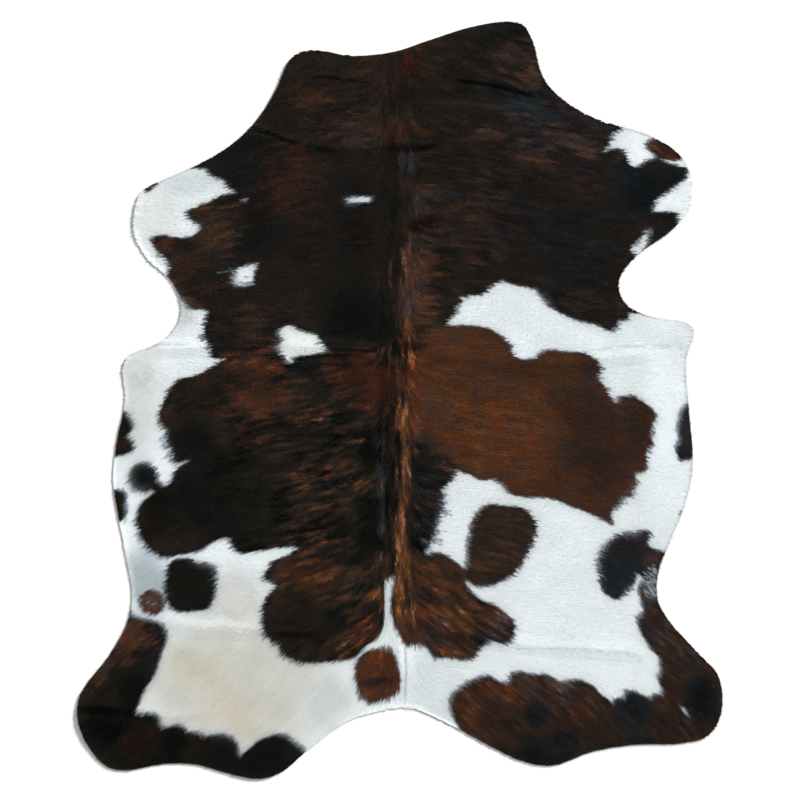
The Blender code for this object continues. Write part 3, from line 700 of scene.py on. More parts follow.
def blob_weight(points, blob, ragged=0.0):
    """1 in the middle of a soft turned oval, 0 outside it."""
    turn = math.radians(blob.turn)
    out = points - on_plan((blob.x_cm, blob.y_cm))
    along = out @ (math.cos(turn), math.sin(turn)) / (blob.long_cm * CM)
    across = out @ (-math.sin(turn), math.cos(turn)) / (blob.wide_cm * CM)
    return smooth((BLOB_END - np.hypot(along, across)) / BLOB_FADE + ragged) * BLOB_STRENGTH


def painted(places, blobs, firm=None, ragged=0.0, **usual):
    """Values by name, changed at each place to what the table's ovals over it say.

    Narrow ovals look at the firm places, which no noise has moved, if they are given."""
    for blob in blobs:
        narrow = firm is not None and min(blob.long_cm, blob.wide_cm) < NARROW_CM
        weight = blob_weight(firm if narrow else places, blob, ragged)
        for name, value in usual.items():
            usual[name] = value + (getattr(blob, name) - value) * weight
    return usual.values()


def along_line(points, line):
    """Each point's distance from an open line, how far along it that is, and its length."""
    distance = np.full(len(points), np.inf)
    place = np.zeros(len(points))
    start = 0.0
    for a, b in zip(line[:-1], line[1:]):
        length = np.linalg.norm(b - a)
        t = np.clip((points - a) @ (b - a) / length**2, 0.0, 1.0)
        d = np.linalg.norm(points - a - t[:, None] * (b - a), axis=1)
        nearer = d < distance
        distance[nearer] = d[nearer]
        place[nearer] = start + t[nearer] * length
        start += length
    return distance, place, start


def crease_trough(points):
    """How deep the creases lie at each point, in metres, and how near it is to one."""
    depth = np.zeros(len(points))
    near = np.zeros(len(points))
    for crease in CREASES:
        line = np.array([on_plan(p) for p in crease.path_cm])
        distance, place, length = along_line(points, line)
        ends = smooth(place / CREASE_FADE) * smooth((length - place) / CREASE_FADE)
        across = np.exp(-((distance / (crease.half_width_mm * MM)) ** 2)) * ends
        depth = np.maximum(depth, across * crease.depth_mm * MM)
        near = np.maximum(near, across)
    return depth, near


def lie_of_hair(points):
    """Unit vectors along the hair: outward from the spine and back."""
    x, y = (points / CM - PLAN_SHIFT_CM).T
    out = x - np.interp(y, SPINE_Y_CM, SPINE_X_CM)
    turn = np.interp(y, LIE_Y_CM, LIE_TURN)
    belly = smooth((np.abs(out) - BELLY_FROM_CM) / BELLY_OVER_CM)
    turn += belly * np.interp(y, BELLY_Y_CM, BELLY_TURN)
    turn += np.interp(y, LIE_Y_CM, NEAR_TURN) * np.exp(-((out / NEAR_TURN_CM) ** 2))
    turn += (STRAIGHT_BACK - turn) * np.exp(-((out / SPINE_TURN_CM) ** SPINE_TURN_POWER))
    turn += LIE_WANDER * (noise(points, LIE_WANDER_SIZE, SEED["lie"]) - 0.5)
    turn = np.radians(turn)
    return np.column_stack([np.where(out < 0, -1, 1) * np.cos(turn), -np.sin(turn)])


def beside(way):
    """The directions a quarter turn to the left."""
    return np.column_stack([-way[:, 1], way[:, 0]])


def turned(way, degrees):
    """Directions turned to the left."""
    turn = np.radians(degrees)
    x, y = way.T
    return np.column_stack(
        [x * np.cos(turn) - y * np.sin(turn), x * np.sin(turn) + y * np.cos(turn)]
    )


def points_of(mesh):
    points = np.empty(len(mesh.vertices) * 3)
    mesh.vertices.foreach_get("co", points)
    return points.reshape(-1, 3)


Ground = namedtuple("Ground", "height edge")


@functools.cache
def ground():
    """The height of the hide's underside, and how far inside the cut edge each place is."""
    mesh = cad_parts["hide"].data
    faces = [tuple(p.vertices) for p in mesh.polygons]
    tree = BVHTree.FromPolygons(points_of(mesh).tolist(), faces)
    chart = Chart(GROUND_STEP)
    up = Vector((0, 0, 1))
    heights = []
    for x, y in chart.points():
        hit = tree.ray_cast(Vector((x, y, -WALL_HALF)), up)[0]
        heights.append(hit.z if hit else tree.find_nearest(Vector((x, y, 0)))[0].z)
    rim = rim_line()
    walls = [(x, y, z) for x, y in rim for z in (-WALL_HALF, WALL_HALF)]
    corners = [(2 * i, 2 * ((i + 1) % len(rim))) for i in range(len(rim))]
    fence = BVHTree.FromPolygons(walls, [(a, b, b + 1, a + 1) for a, b in corners])
    distance = []
    for x, y in chart.points():
        found = fence.find_nearest(Vector((x, y, 0)), EDGE_REACH)[3]
        distance.append(EDGE_REACH if found is None else found)
    inside = chart.filled(rim).ravel()
    signed = np.where(inside, distance, -np.array(distance))
    return Ground(chart.holding(heights), chart.holding(signed))


def rim_line():
    """The cut edge in order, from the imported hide's outermost points."""
    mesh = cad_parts["hide"].data
    places = np.round(points_of(mesh) / MM * WELD_PER_MM).astype(int)
    places, index = np.unique(places, axis=0, return_inverse=True)
    index = index.reshape(-1)
    sides_of = {}
    for face in mesh.polygons:
        corners = index[list(face.vertices)]
        for a, b in zip(corners, np.roll(corners, -1)):
            sides_of.setdefault((min(a, b), max(a, b)), []).append((face.normal.z, a, b))
    ahead = {}
    for sides in sides_of.values():
        if len(sides) == 2 and sides[0][0] * sides[1][0] < 0:
            for up, a, b in sides:
                if up < 0:
                    ahead[b] = a
    start = next(iter(ahead))
    line = [start]
    while ahead[line[-1]] != start:
        line.append(ahead[line[-1]])
    return places[line][:, :2] * MM / WELD_PER_MM


@functools.cache
def coat_plan():
    """Charts of the dark patches, of how deep inside them a place is, and of their tones."""
    chart = Chart(COAT_STEP)
    shape = chart.values.shape
    dark, tone, brindle = np.zeros(shape), np.zeros(shape), np.zeros(shape)
    for patch in PATCHES:
        inside = chart.filled(closed_curve([on_plan(p) for p in patch.edge_cm]))
        dark[inside] = patch.coat == "dark"
        tone[inside], brindle[inside] = patch.tone, patch.brindle
    places = chart.points()
    for fleck in FLECKS:
        inside = (blob_weight(places, fleck) > BLOB_STRENGTH / 2).reshape(shape)
        dark[inside] = fleck.coat == "dark"
        tone[inside] = fleck.tone
    weight = np.maximum(chart.blurred(dark, TONE_BLEND), TINY)
    return {
        "dark": chart.holding(chart.blurred(dark, SOFT_BORDER)),
        "depth": chart.holding(chart.blurred(dark, RIM_BLEND)),
        "tone": chart.holding(chart.blurred(dark * tone, TONE_BLEND) / weight),
        "brindle": chart.holding(chart.blurred(dark * brindle, TONE_BLEND) / weight),
    }


def read_coat(points, way):
    """What hair grows at each point: whether it is dark, and its colours."""
    plan = coat_plan()
    jag = (noise(points, JAG_SIZE, SEED["jag"]) - 0.5) * JAG
    share = plan["dark"].at(points)
    mix = smooth(1 - np.abs(share - 0.5) / MIX_OVER)
    drift = [noise(points, WARP_SIZE, SEED[k]) - 0.5 for k in ("warp_x", "warp_y")]
    loose = points + np.column_stack(drift) * WARP
    coarse = streaks(points, way, BRINDLE_WIDTH, BRINDLE_LENGTH, SEED["brindle"]) - 0.5
    fine = streaks(points, way, FINE_WIDTH, FINE_LENGTH, SEED["fine"]) - 0.5
    cloud, patchy = (noise(points, CLOUD_SIZE, SEED[k]) - 0.5 for k in ("cloud", "patchy"))
    tone, red, bloom = painted(
        loose, TONES, firm=points, ragged=RAGGED * (coarse + FINE_IN_RAGGED * fine),
        tone=plan["tone"].at(points), red=0.0, bloom=0.0,
    )
    red += RED_CAST * (noise(points, CAST_SIZE, SEED["red"]) - 0.5)
    # The painted sheen and roan grey wander at random too.
    bloom += SHEEN_AND_GREY_CAST * (noise(points, CAST_SIZE, SEED["bloom"]) - 0.5)
    (streaked,) = painted(loose, BRINDLES, share=1.0)
    brindle = plan["brindle"].at(points) * smooth(tone / BRINDLE_FULL_TONE)
    flecks = (coarse + 0.5) ** 2 - MEAN_OF_SQUARES
    along = FLECK_STRENGTH * flecks + FINE_STRENGTH * fine
    tone += brindle * (streaked * along + CLOUD_STRENGTH * cloud)
    depth = plan["depth"].at(points)
    tone -= RIM_SHADE * (1 - smooth((depth - 0.5) * RIM_STEEPNESS))
    warm, dim = painted(loose, PALES, warm=USUAL_WARM, dim=USUAL_DIM)
    dim += PATCHY_DIM * patchy + STREAK_DIM * (fine + coarse)
    dim += MIX_DIM * mix + BORDER_DIM * depth
    return {
        "dark": share + jag > 0.5,
        "mix": mix,
        "tone": np.clip(tone, 0, 1),
        "red": np.clip(red, 0, 1),
        "bloom": np.clip(bloom, 0, 1),
        "warm": np.clip(warm, -1, 1),
        "dim": np.clip(dim, 0, 1),
    }


def crease_shaded(points, tone, dim):
    """The tones of dark and white hair at some points, with painted shade along the creases."""
    near = crease_trough(points)[1]
    return np.maximum(tone - CREASE_SHADE_TONE * near, 0), np.minimum(dim + CREASE_SHADE_DIM * near**2, 1)


def skin_height(points):
    """How high the skin lies over the floor."""
    trough = np.minimum(crease_trough(points)[0], ground().height.at(points))
    return ground().height.at(points) - trough


def lock_roots(rng, spacing):
    """Places for the locks, on a shaken net over the whole hide."""
    low, high = np.array(CAD_BOX[0][:2]), np.array(CAD_BOX[1][:2])
    columns, rows = np.ceil((high - low) / spacing).astype(int)
    net = np.stack(np.meshgrid(np.arange(columns), np.arange(rows)), -1).reshape(-1, 2)
    root = low + (net + 0.5 + ROOT_JITTER * (rng.random(net.shape) - 0.5)) * spacing
    return root[ground().edge.at(root) > ROOT_INSET]


def trimmed(root, way, full):
    """The locks' lengths, cut short where they would hang over the hide's edge."""
    long = full.copy()
    for share in TRIMS:
        over = ground().edge.at(root + way * long[:, None]) < -OVERHANG
        long[over] = full[over] * share
    return long


def coat_of_locks(root, lie, hair):
    """The coat that each lock has, and its share of the other colour where wisps run over."""
    reach_mm, soft = painted(root, REACHES, reach_mm=hair.wisp_reach / MM, soft=0.0)
    wisp = streaks(root, lie, WISP_WIDTH, WISP_LENGTH, SEED["wisp"]) ** WISP_POWER
    side = (noise(root, SIDE_JITTER * 2, SEED["side"]) - 0.5) * 2 * SIDE_JITTER
    lead = hair.lead * hair.length
    ahead = (lead - reach_mm * MM * wisp)[:, None]
    coat = read_coat(root + lie * ahead + beside(lie) * side[:, None], lie)
    usual = root + lie * lead
    sharp = coat_plan()["dark"].at(usual)
    share = sharp + (coat_plan()["depth"].at(usual) - sharp) * soft
    faded = (USUAL_FADE + (1 - USUAL_FADE) * soft) * np.where(coat["dark"], 1 - share, share)
    return coat, faded


@functools.cache
def locks(hair):
    """Every lock of the coat: its root, lie, size and colours."""
    rng = np.random.default_rng(SEED["roots"])
    root = lock_roots(rng, hair.spacing)
    count = len(root)
    lie = lie_of_hair(root)
    way = turned(lie, rng.normal(0, LIE_SCATTER, count))
    long = trimmed(
        root, way, hair.length * (1 + hair.length_spread * rng.uniform(-1, 1, count))
    )
    wide = hair.width * (1 + hair.width_spread * rng.uniform(-1, 1, count))
    inside = smooth(ground().edge.at(root) / RIM_FADE)
    rise = hair.rim_pile + (hair.pile - hair.rim_pile) * inside
    rise *= rng.uniform(LOWEST_RISE, 1.0, count)
    coat, faded = coat_of_locks(root, lie, hair)
    rise[~coat["dark"]] *= WHITE_RISE
    wide[~coat["dark"]] *= WHITE_WIDTH
    (roan,) = painted(root, ROANS, share=0.0)
    speckle = rng.random(count) * 2 * noise(root, SPECKLE_SIZE, SEED["speckle"])
    roan = np.where(speckle < roan, ROAN_WHITE, ROAN_TINT * roan) + coat["mix"] * MIX_PALE
    other = np.clip(faded + np.where(coat["dark"], roan, 0), 0, 1)
    shade = rng.random(count)
    return dict(
        coat, root=root, way=way, long=long, wide=wide, rise=rise, shade=shade, other=other
    )


Hair = namedtuple(
    "Hair", "spacing length length_spread width width_spread pile rim_pile lead wisp_reach"
)


def hair_settings():
    return bpy.context.scene.cowhide_hair


def all_locks():
    return locks(Hair(*(getattr(hair_settings(), key) for key in Hair._fields)))


# Materials.


class Wire:
    """A socket of a material, so that its maths reads as plain expressions."""

    def __init__(self, recipe, socket):
        self.recipe, self.socket = recipe, socket

    def math(self, operation, *values):
        return self.recipe.node("ShaderNodeMath", {"operation": operation}, *values)

    def __add__(self, other):
        return self.math("ADD", self, other)

    def __sub__(self, other):
        return self.math("SUBTRACT", self, other)

    def __rsub__(self, other):
        return self.math("SUBTRACT", other, self)

    def __mul__(self, other):
        return self.math("MULTIPLY", self, other)

    __radd__, __rmul__ = __add__, __mul__

    def clamped(self):
        """Kept between 0 and 1."""
        add = {"operation": "ADD", "use_clamp": True}
        return self.recipe.node("ShaderNodeMath", add, self, 0.0)


class Recipe:
    """One material's nodes, ending in its Principled shader."""

    def __init__(self, name):
        self.material = bpy.data.materials.new(name)
        self.material.use_nodes = True
        self.tree = self.material.node_tree
        self.shader = self.tree.nodes["Principled BSDF"]

    def node(self, kind, settings=None, *values, out=0, **named):
        """A node with its settings first, then the values or wires of its sockets."""
        made = self.tree.nodes.new(kind)
        for key, value in (settings or {}).items():
            if key == "stops":
                fill_ramp(made.color_ramp, value)
            else:
                setattr(made, key, value)
        for key, value in [*enumerate(values), *named.items()]:
            self.join(made.inputs[key], value)
        return Wire(self, made.outputs[out])

    def join(self, socket, value):
        if isinstance(value, Wire):
            self.tree.links.new(value.socket, socket)
        else:
            socket.default_value = value

    def finish(self, **sockets):
        """The finished material; a socket's spaces are written as underscores."""
        for key, value in sockets.items():
            self.join(self.shader.inputs[key.replace("_", " ")], value)
        return self.material

    def attribute(self, name):
        """The three numbers of an attribute that the mesh carries."""
        found = self.node("ShaderNodeAttribute", {"attribute_name": name}, out="Vector")
        split = self.tree.nodes.new("ShaderNodeSeparateXYZ")
        self.tree.links.new(found.socket, split.inputs[0])
        return [Wire(self, socket) for socket in split.outputs]

    def mixed(self, share, first, second, blend="MIX"):
        """One colour over another."""
        made = self.tree.nodes.new("ShaderNodeMix")
        made.data_type, made.blend_type = "RGBA", blend
        for key, value in (("Factor_Float", share), ("A_Color", first), ("B_Color", second)):
            self.join(next(s for s in made.inputs if s.identifier == key), value)
        return Wire(self, next(s for s in made.outputs if s.identifier == "Result_Color"))

    def noise(self, place, scale, detail, **named):
        return self.node(
            "ShaderNodeTexNoise", {}, out="Fac", Vector=place, Scale=scale, Detail=detail, **named
        )

    def scaled(self, colour, factor):
        """A colour made lighter or darker by a factor."""
        scale = {"operation": "SCALE"}
        return self.node("ShaderNodeVectorMath", scale, colour, out="Vector", Scale=factor)

    def bumped(self, height, distance, strength=1.0):
        return self.node(
            "ShaderNodeBump", {}, Height=height, Distance=distance, Strength=strength
        )


def fill_ramp(ramp, stops):
    while len(ramp.elements) < len(stops):
        ramp.elements.new(1.0)
    for element, (place, colour) in zip(ramp.elements, stops):
        element.position, element.color = place, colour


def opaque(colour):
    return (*colour, 1.0)


def dark_hair_colour(recipe, tone, red, bloom):
    """From blue-black over browns to orange-tan, redder in places, blue-grey under painted sheen,
    and grey where it is roan.
    """
    s = hair_settings()
    stops = [
        (min(i * SHADE_STEP, 1.0), opaque(getattr(s, shade)))
        for i, shade in enumerate(DARK_SHADES)
    ]
    ramp = recipe.node("ShaderNodeValToRGB", {"stops": stops}, tone, out="Color")
    redder = recipe.mixed(red, ramp, opaque(s.red_cast), "MULTIPLY")
    plain = recipe.node("ShaderNodeRGBToBW", {}, redder)
    # Painted sheen and roan grey: the hair's own lightness in a pale blue-grey, laid over its
    # colour.
    return recipe.mixed(bloom, redder, recipe.scaled(s.bloom, plain))


def white_hair_colour(recipe, warm, dim):
    """White, cooler or creamier in places, and duller where it is stained."""
    s = hair_settings()
    creamy = recipe.mixed(warm.clamped(), opaque(s.white), opaque(s.cream))
    cool = recipe.mixed((0.0 - warm).clamped(), creamy, opaque(s.cool_white))
    return recipe.mixed(dim, cool, opaque(s.dull_white), "MULTIPLY")


def hair_material(name, dark, roughness, shine):
    """Hair in each lock's own colours. Dark locks carry a tone, a red cast and a share of
    blue-grey, which is painted sheen and, where the hair is roan, grey; white ones their warmth,
    their dullness and the tone of the dark hair that shows between them. Tone and dullness hold
    painted shade along the creases."""
    recipe = Recipe(name)
    first, second, third = recipe.attribute("coat")
    across, own, other = recipe.attribute("strand")
    place = recipe.node(
        "ShaderNodeCombineXYZ", {}, across * HAIRS_ACROSS, own * HAIRS_OF_LOCK, 0.0
    )
    hairs = recipe.noise(place, scale=1.0, detail=1.0)
    if dark:
        plain = dark_hair_colour(recipe, first + (hairs - 0.5) * HAIRS_TONE, second, third)
        base = recipe.mixed(other.clamped(), plain, opaque(hair_settings().roan))
        light = DARK_LIGHT + (own + hairs) * DARK_LIGHT_SPREAD
    else:
        under = dark_hair_colour(recipe, third, WHITE_UNDER_CAST, WHITE_UNDER_CAST)
        base = recipe.mixed(other * other, white_hair_colour(recipe, first, second), under)
        light = WHITE_LIGHT + (own + hairs) * WHITE_LIGHT_SPREAD
    lowest = roughness - (ROUGH_OF_LOCK + ROUGH_OF_HAIRS) / 2
    return recipe.finish(
        Base_Color=recipe.scaled(base, light),
        Roughness=lowest + own * ROUGH_OF_LOCK + hairs * ROUGH_OF_HAIRS,
        Specular_IOR_Level=shine,
        Normal=recipe.bumped(hairs, HAIR_BUMP, HAIR_BUMP_STRENGTH),
    )


def skin_material():
    """The skin between the hair roots, in the coat's own colours, darkened by painted shade from
    the hair over it.
    """
    recipe = Recipe("skin under the hair")
    # The skin takes the same painted sheen and roan grey as the hair over it.
    tone, red, bloom = recipe.attribute("coat")
    dark, warm, dim = recipe.attribute("pale")
    place = recipe.node("ShaderNodeTexCoord", {}, out="Object")
    grain = recipe.noise(place, GRAIN_SCALE, GRAIN_DETAIL)
    split = recipe.node(
        "ShaderNodeMapRange", {"interpolation_type": "SMOOTHSTEP"},
        dark + (grain - 0.5) * BORDER_RAGGED, BORDER_FROM, BORDER_TO, 0.0, 1.0,
    )
    white = white_hair_colour(recipe, warm, dim)
    brown = dark_hair_colour(recipe, tone + (grain - 0.5) * GRAIN_TONE, red, bloom)
    # Painted shade: the skin a little darker than the hair over it, lighter where the grain is.
    light = SKIN_LIGHT + grain * SKIN_LIGHT_SPREAD
    return recipe.finish(
        Base_Color=recipe.scaled(recipe.mixed(split, white, brown), light),
        Roughness=SKIN_ROUGH + grain * SKIN_ROUGH_SPREAD, Specular_IOR_Level=SKIN_SHINE,
        Normal=recipe.bumped(grain, GRAIN_BUMP),
    )


def suede_material():
    """The split flesh side and the cut edge: tan, napped and a little uneven."""
    recipe = Recipe("suede flesh side")
    s = bpy.context.scene.cowhide_skin
    place = recipe.node("ShaderNodeTexCoord", {}, out="Object")
    nap = recipe.noise(place, NAP_SCALE, NAP_DETAIL, Roughness=NAP_ROUGHNESS)
    clouds = recipe.noise(place, CLOUD_SCALE, CLOUD_DETAIL)
    veins = recipe.node(
        "ShaderNodeTexVoronoi", {"feature": "DISTANCE_TO_EDGE"}, out="Distance",
        Vector=place, Scale=VEIN_SCALE,
    )
    vein = recipe.node("ShaderNodeMapRange", {}, veins, 0.0, VEIN_WIDTH, 1.0, 0.0)
    shade = (clouds * CLOUD_LIGHT + nap * NAP_LIGHT - vein * VEIN_SHADE).clamped()
    return recipe.finish(
        Base_Color=recipe.mixed(shade, opaque(s.suede_shade), opaque(s.suede)),
        Roughness=SUEDE_ROUGH + nap * SUEDE_ROUGH_SPREAD, Specular_IOR_Level=SUEDE_SHINE,
        Normal=recipe.bumped(nap, NAP_BUMP),
    )


# Pieces.


def nothing_selected():
    """Leaves edit mode and selects nothing."""
    if bpy.context.mode != "OBJECT":
        bpy.ops.object.mode_set(mode="OBJECT")
    bpy.ops.object.select_all(action="DESELECT")


def picked(obj):
    """Makes an object the only one selected, and the active one."""
    nothing_selected()
    obj.select_set(True)
    bpy.context.view_layer.objects.active = obj


def carry(mesh, name, first, second, third):
    """Writes three numbers for each point, for the material to read."""
    values = np.column_stack([first, second, third]).astype(np.float32)
    made = mesh.attributes.new(name, "FLOAT_VECTOR", "POINT")
    made.data.foreach_set("vector", values.ravel())


def flesh_side():
    """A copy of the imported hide's underside as one open sheet, turned to face up."""
    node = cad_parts["hide"]
    sheet = bpy.data.objects.new("skin", node.data.copy())
    bpy.context.scene.collection.objects.link(sheet)
    picked(sheet)
    bpy.ops.object.mode_set(mode="EDIT")
    bpy.ops.mesh.select_all(action="SELECT")
    bpy.ops.mesh.remove_doubles(threshold=MM / WELD_PER_MM)
    bpy.ops.mesh.select_mode(type="FACE")
    bpy.ops.mesh.select_all(action="DESELECT")
    bpy.ops.object.mode_set(mode="OBJECT")
    for face in sheet.data.polygons:
        face.select = face.normal.z > UNDERSIDE_NORMAL
    bpy.ops.object.mode_set(mode="EDIT")
    bpy.ops.mesh.delete(type="FACE")
    bpy.ops.mesh.select_all(action="SELECT")
    bpy.ops.mesh.flip_normals()
    bpy.ops.object.mode_set(mode="OBJECT")
    sheet.data.materials.clear()
    return sheet


def gridded(sheet, spacing):
    """Cuts the sheet into small even faces, fine enough to carry the coat's colours."""
    bpy.ops.object.mode_set(mode="EDIT")
    bpy.ops.mesh.select_all(action="SELECT")
    bpy.ops.mesh.dissolve_limited(angle_limit=FLAT_ANGLE)
    for axis in range(2):
        start, end = CAD_BOX[0][axis] + spacing / 2, CAD_BOX[1][axis]
        normal = np.eye(3)[axis]
        for place in np.arange(start, end, spacing):
            bpy.ops.mesh.select_all(action="SELECT")
            bpy.ops.mesh.bisect(plane_co=normal * place, plane_no=normal)
    bpy.ops.object.mode_set(mode="OBJECT")


def thickened(sheet, thickness):
    """Gives the sheet its thickness upwards, and its cut edge."""
    modifier = sheet.modifiers.new("thickness", "SOLIDIFY")
    modifier.thickness, modifier.offset = thickness, 1.0
    bpy.ops.object.modifier_apply(modifier=modifier.name)


def make_skin(settings):
    """The tanned sheet with the hide's lie and creases, coloured like the hair that grows on it,
    with painted shade under the hair and along the creases.
    """
    sheet = flesh_side()
    gridded(sheet, settings.spacing)
    points = points_of(sheet.data)
    points[:, 2] = skin_height(points[:, :2])
    sheet.data.vertices.foreach_set("co", points.ravel())
    thickened(sheet, settings.thickness)
    sheet.data.materials.append(skin_material())
    sheet.data.materials.append(suede_material())
    for face in sheet.data.polygons:
        face.material_index = 0 if face.normal.z > HAIR_SIDE_NORMAL else 1
    bpy.ops.object.shade_smooth_by_angle(angle=SMOOTH_ANGLE)
    flat = points_of(sheet.data)[:, :2]
    coat = read_coat(flat, lie_of_hair(flat))
    # Painted shade along the creases, on the skin.
    tone, dim = crease_shaded(flat, coat["tone"], coat["dim"])
    carry(sheet.data, "coat", tone, coat["red"], coat["bloom"])
    carry(sheet.data, "pale", coat_plan()["dark"].at(flat), coat["warm"], dim)
    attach(sheet, "root")
    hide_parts("hide")


@functools.cache
def lock_shape():
    """One lock's four corners and four faces, along x from 0 to 1 and rising to 1."""
    nothing_selected()
    bpy.ops.mesh.primitive_cone_add(
        vertices=LOCK_SIDES, radius1=1 / math.sqrt(3), depth=1 - LOCK_WIDEST,
        location=((1 + LOCK_WIDEST) / 2, 0, 0), rotation=(0, math.pi / 2, 0),
    )
    lock = bpy.context.object
    bpy.ops.object.transform_apply(location=True, rotation=True, scale=True)
    bpy.ops.object.mode_set(mode="EDIT")
    bpy.ops.mesh.select_mode(type="VERT")
    for corner, move in lock_moves(lock):
        bpy.ops.mesh.select_all(action="DESELECT")
        bpy.ops.object.mode_set(mode="OBJECT")
        lock.data.vertices[corner].select = True
        bpy.ops.object.mode_set(mode="EDIT")
        bpy.ops.transform.translate(value=move)
    bpy.ops.mesh.select_all(action="SELECT")
    bpy.ops.mesh.normals_make_consistent(inside=False)
    bpy.ops.object.mode_set(mode="OBJECT")
    points = points_of(lock.data)
    faces = np.array([f.vertices for f in lock.data.polygons])
    bpy.data.objects.remove(lock)
    return points, faces


def lock_moves(lock):
    """The corners of the cone and the moves that make a flat leaf of it with a ridge on top."""
    points = points_of(lock.data)
    tip = int(np.argmax(points[:, 0]))
    base = [i for i in range(len(points)) if i != tip]
    root = min(base, key=lambda i: abs(points[i, 1]))
    aims = {tip: (1, 0, 1), root: (0, 0, LOCK_ROOT_RISE)}
    for i in base:
        if i != root:
            aims[i] = (LOCK_WIDEST, math.copysign(0.5, points[i, 1]), LOCK_SIDE_RISE)
    return [(i, tuple(np.array(aim) - points[i])) for i, aim in aims.items()]


def lock_corners(own, points):
    """Where the corners of some locks lie on the plan, and how high over the floor."""
    root, way, long, wide, rise = (own[k] for k in ("root", "way", "long", "wide", "rise"))
    flat = (
        root[:, None]
        + way[:, None] * (points[:, 0] * long[:, None])[..., None]
        + beside(way)[:, None] * (points[:, 1] * wide[:, None])[..., None]
    ).reshape(-1, 2)
    skin = skin_height(flat).reshape(len(root), len(points))
    ends = points[:, 0] < TINY, points[:, 0] > 1 - TINY
    start, end = (skin[:, at].mean(axis=1)[:, None] for at in ends)
    skin = np.minimum(skin, start + (end - start) * points[:, 0])
    thickness = bpy.context.scene.cowhide_skin.thickness
    return flat, (skin + thickness + rise[:, None] * points[:, 2]).ravel()


def triangle_mesh(name, points, index):
    """A mesh of triangles, whose corners the index lists."""
    mesh = bpy.data.meshes.new(name)
    mesh.vertices.add(len(points))
    mesh.vertices.foreach_set("co", points.ravel())
    mesh.loops.add(index.size)
    mesh.loops.foreach_set("vertex_index", index.ravel())
    mesh.polygons.add(index.size // 3)
    mesh.polygons.foreach_set("loop_start", np.arange(0, index.size, 3))
    mesh.update(calc_edges=True)
    return mesh


def carry_coat(mesh, own, flat, points, dark):
    """Writes each lock's colours for its material: see hair_material."""
    each = {k: np.repeat(v, len(points)) for k, v in own.items() if v.ndim == 1}
    # Painted shade along the creases, on the locks.
    tone, dim = crease_shaded(flat, each["tone"], each["dim"])
    if dark:
        carry(mesh, "coat", tone, each["red"], each["bloom"])
    else:
        carry(mesh, "coat", each["warm"], dim, tone)
    share = coat_plan()["dark"].at(flat).reshape(-1, len(points))
    buried = ((1 - share if dark else share) * (points[:, 0] < ROOT_HALF)).ravel()
    across_mm = (points[:, 1] * own["wide"][:, None]).ravel() / MM
    carry(mesh, "strand", across_mm, each["shade"], np.maximum(buried, each["other"]))


def hair_piece(name, wanted, material):
    """Copies of the lock joined into one mesh, each on the skin at its own root."""
    own = {key: value[wanted] for key, value in all_locks().items()}
    points, faces = lock_shape()
    count = len(own["root"])
    if count * len(faces) >= MOST_TRIANGLES:
        raise RuntimeError(f"{name} would have {count * len(faces)} triangles")
    flat, height = lock_corners(own, points)
    index = (np.arange(count) * len(points))[:, None, None] + faces
    mesh = triangle_mesh(name, np.column_stack([flat, height]), index)
    carry_coat(mesh, own, flat, points, material.name.startswith("dark"))
    spread_map(mesh, own["root"], points, index)
    mesh.shade_smooth()
    mesh.normals_split_custom_set_from_vertices(soft_normals(flat, points, own["way"]))
    mesh.materials.append(material)
    piece = bpy.data.objects.new(name, mesh)
    bpy.context.scene.collection.objects.link(piece)
    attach(piece, "root")


def soft_normals(flat, points, way):
    """The skin's own normals, turned a little aside on a lock's sides and tip."""
    step = GROUND_STEP / 2
    slope = [
        (skin_height(flat + move) - skin_height(flat - move)) / (2 * step)
        for move in np.eye(2) * step
    ]
    normals = np.column_stack([-slope[0], -slope[1], np.ones(len(flat))])
    normals[:, :2] += (
        beside(way)[:, None] * (points[:, 1] * 2 * SIDE_LEAN)[:, None]
        - way[:, None] * (points[:, 0] * TIP_LEAN)[:, None]
    ).reshape(-1, 2)
    return normals / np.linalg.norm(normals, axis=1, keepdims=True)


def spread_map(mesh, root, points, index):
    """A map in which every lock has a cell of its own, near its neighbours' cells."""
    count = len(root)
    cells = math.ceil(math.sqrt(count))
    row = np.empty(count, int)
    row[np.argsort(root[:, 1], kind="stable")] = np.arange(count) // cells
    order = np.lexsort((root[:, 0], row))
    column = np.empty(count, int)
    column[order] = np.arange(count) % cells
    corner = np.column_stack([points[:, 1] * 2, points[:, 0] * 2 - 1]) * UV_HALF + 0.5
    spots = (np.column_stack([column, row])[:, None] + corner) / cells
    layer = mesh.uv_layers.new(name="OFBake")
    layer.uv.foreach_set("vector", spots.reshape(-1, 2)[index.ravel()].ravel())


def make_white_hair():
    s = hair_settings()
    coat = all_locks()
    material = hair_material("white hair", False, s.white_roughness, s.white_shine)
    left = coat["root"][:, 0] < 0
    for side, there in (("left", left), ("right", ~left)):
        hair_piece(f"white_hair_{side}", ~coat["dark"] & there, material)


def make_dark_hair():
    s = hair_settings()
    coat = all_locks()
    material = hair_material("dark hair", True, s.dark_roughness, s.dark_shine)
    x, y = coat["root"].T
    left, front = x < 0, y > s.front_from
    for end, along in (("front", front), ("back", ~front)):
        for side, there in (("left", left), ("right", ~left)):
            hair_piece(f"dark_hair_{end}_{side}", coat["dark"] & there & along, material)


# The studio.


def make_key(settings):
    """A broad soft light from beyond the right foreleg, the same over all of the hide."""
    nothing_selected()
    bpy.ops.object.light_add(type="SUN")
    lamp = bpy.context.object
    lamp.name = "key light"
    lamp.data.energy, lamp.data.angle = settings.key_power, settings.key_breadth
    lamp.rotation_euler = (0, math.pi / 2 - settings.key_rise, settings.key_side)


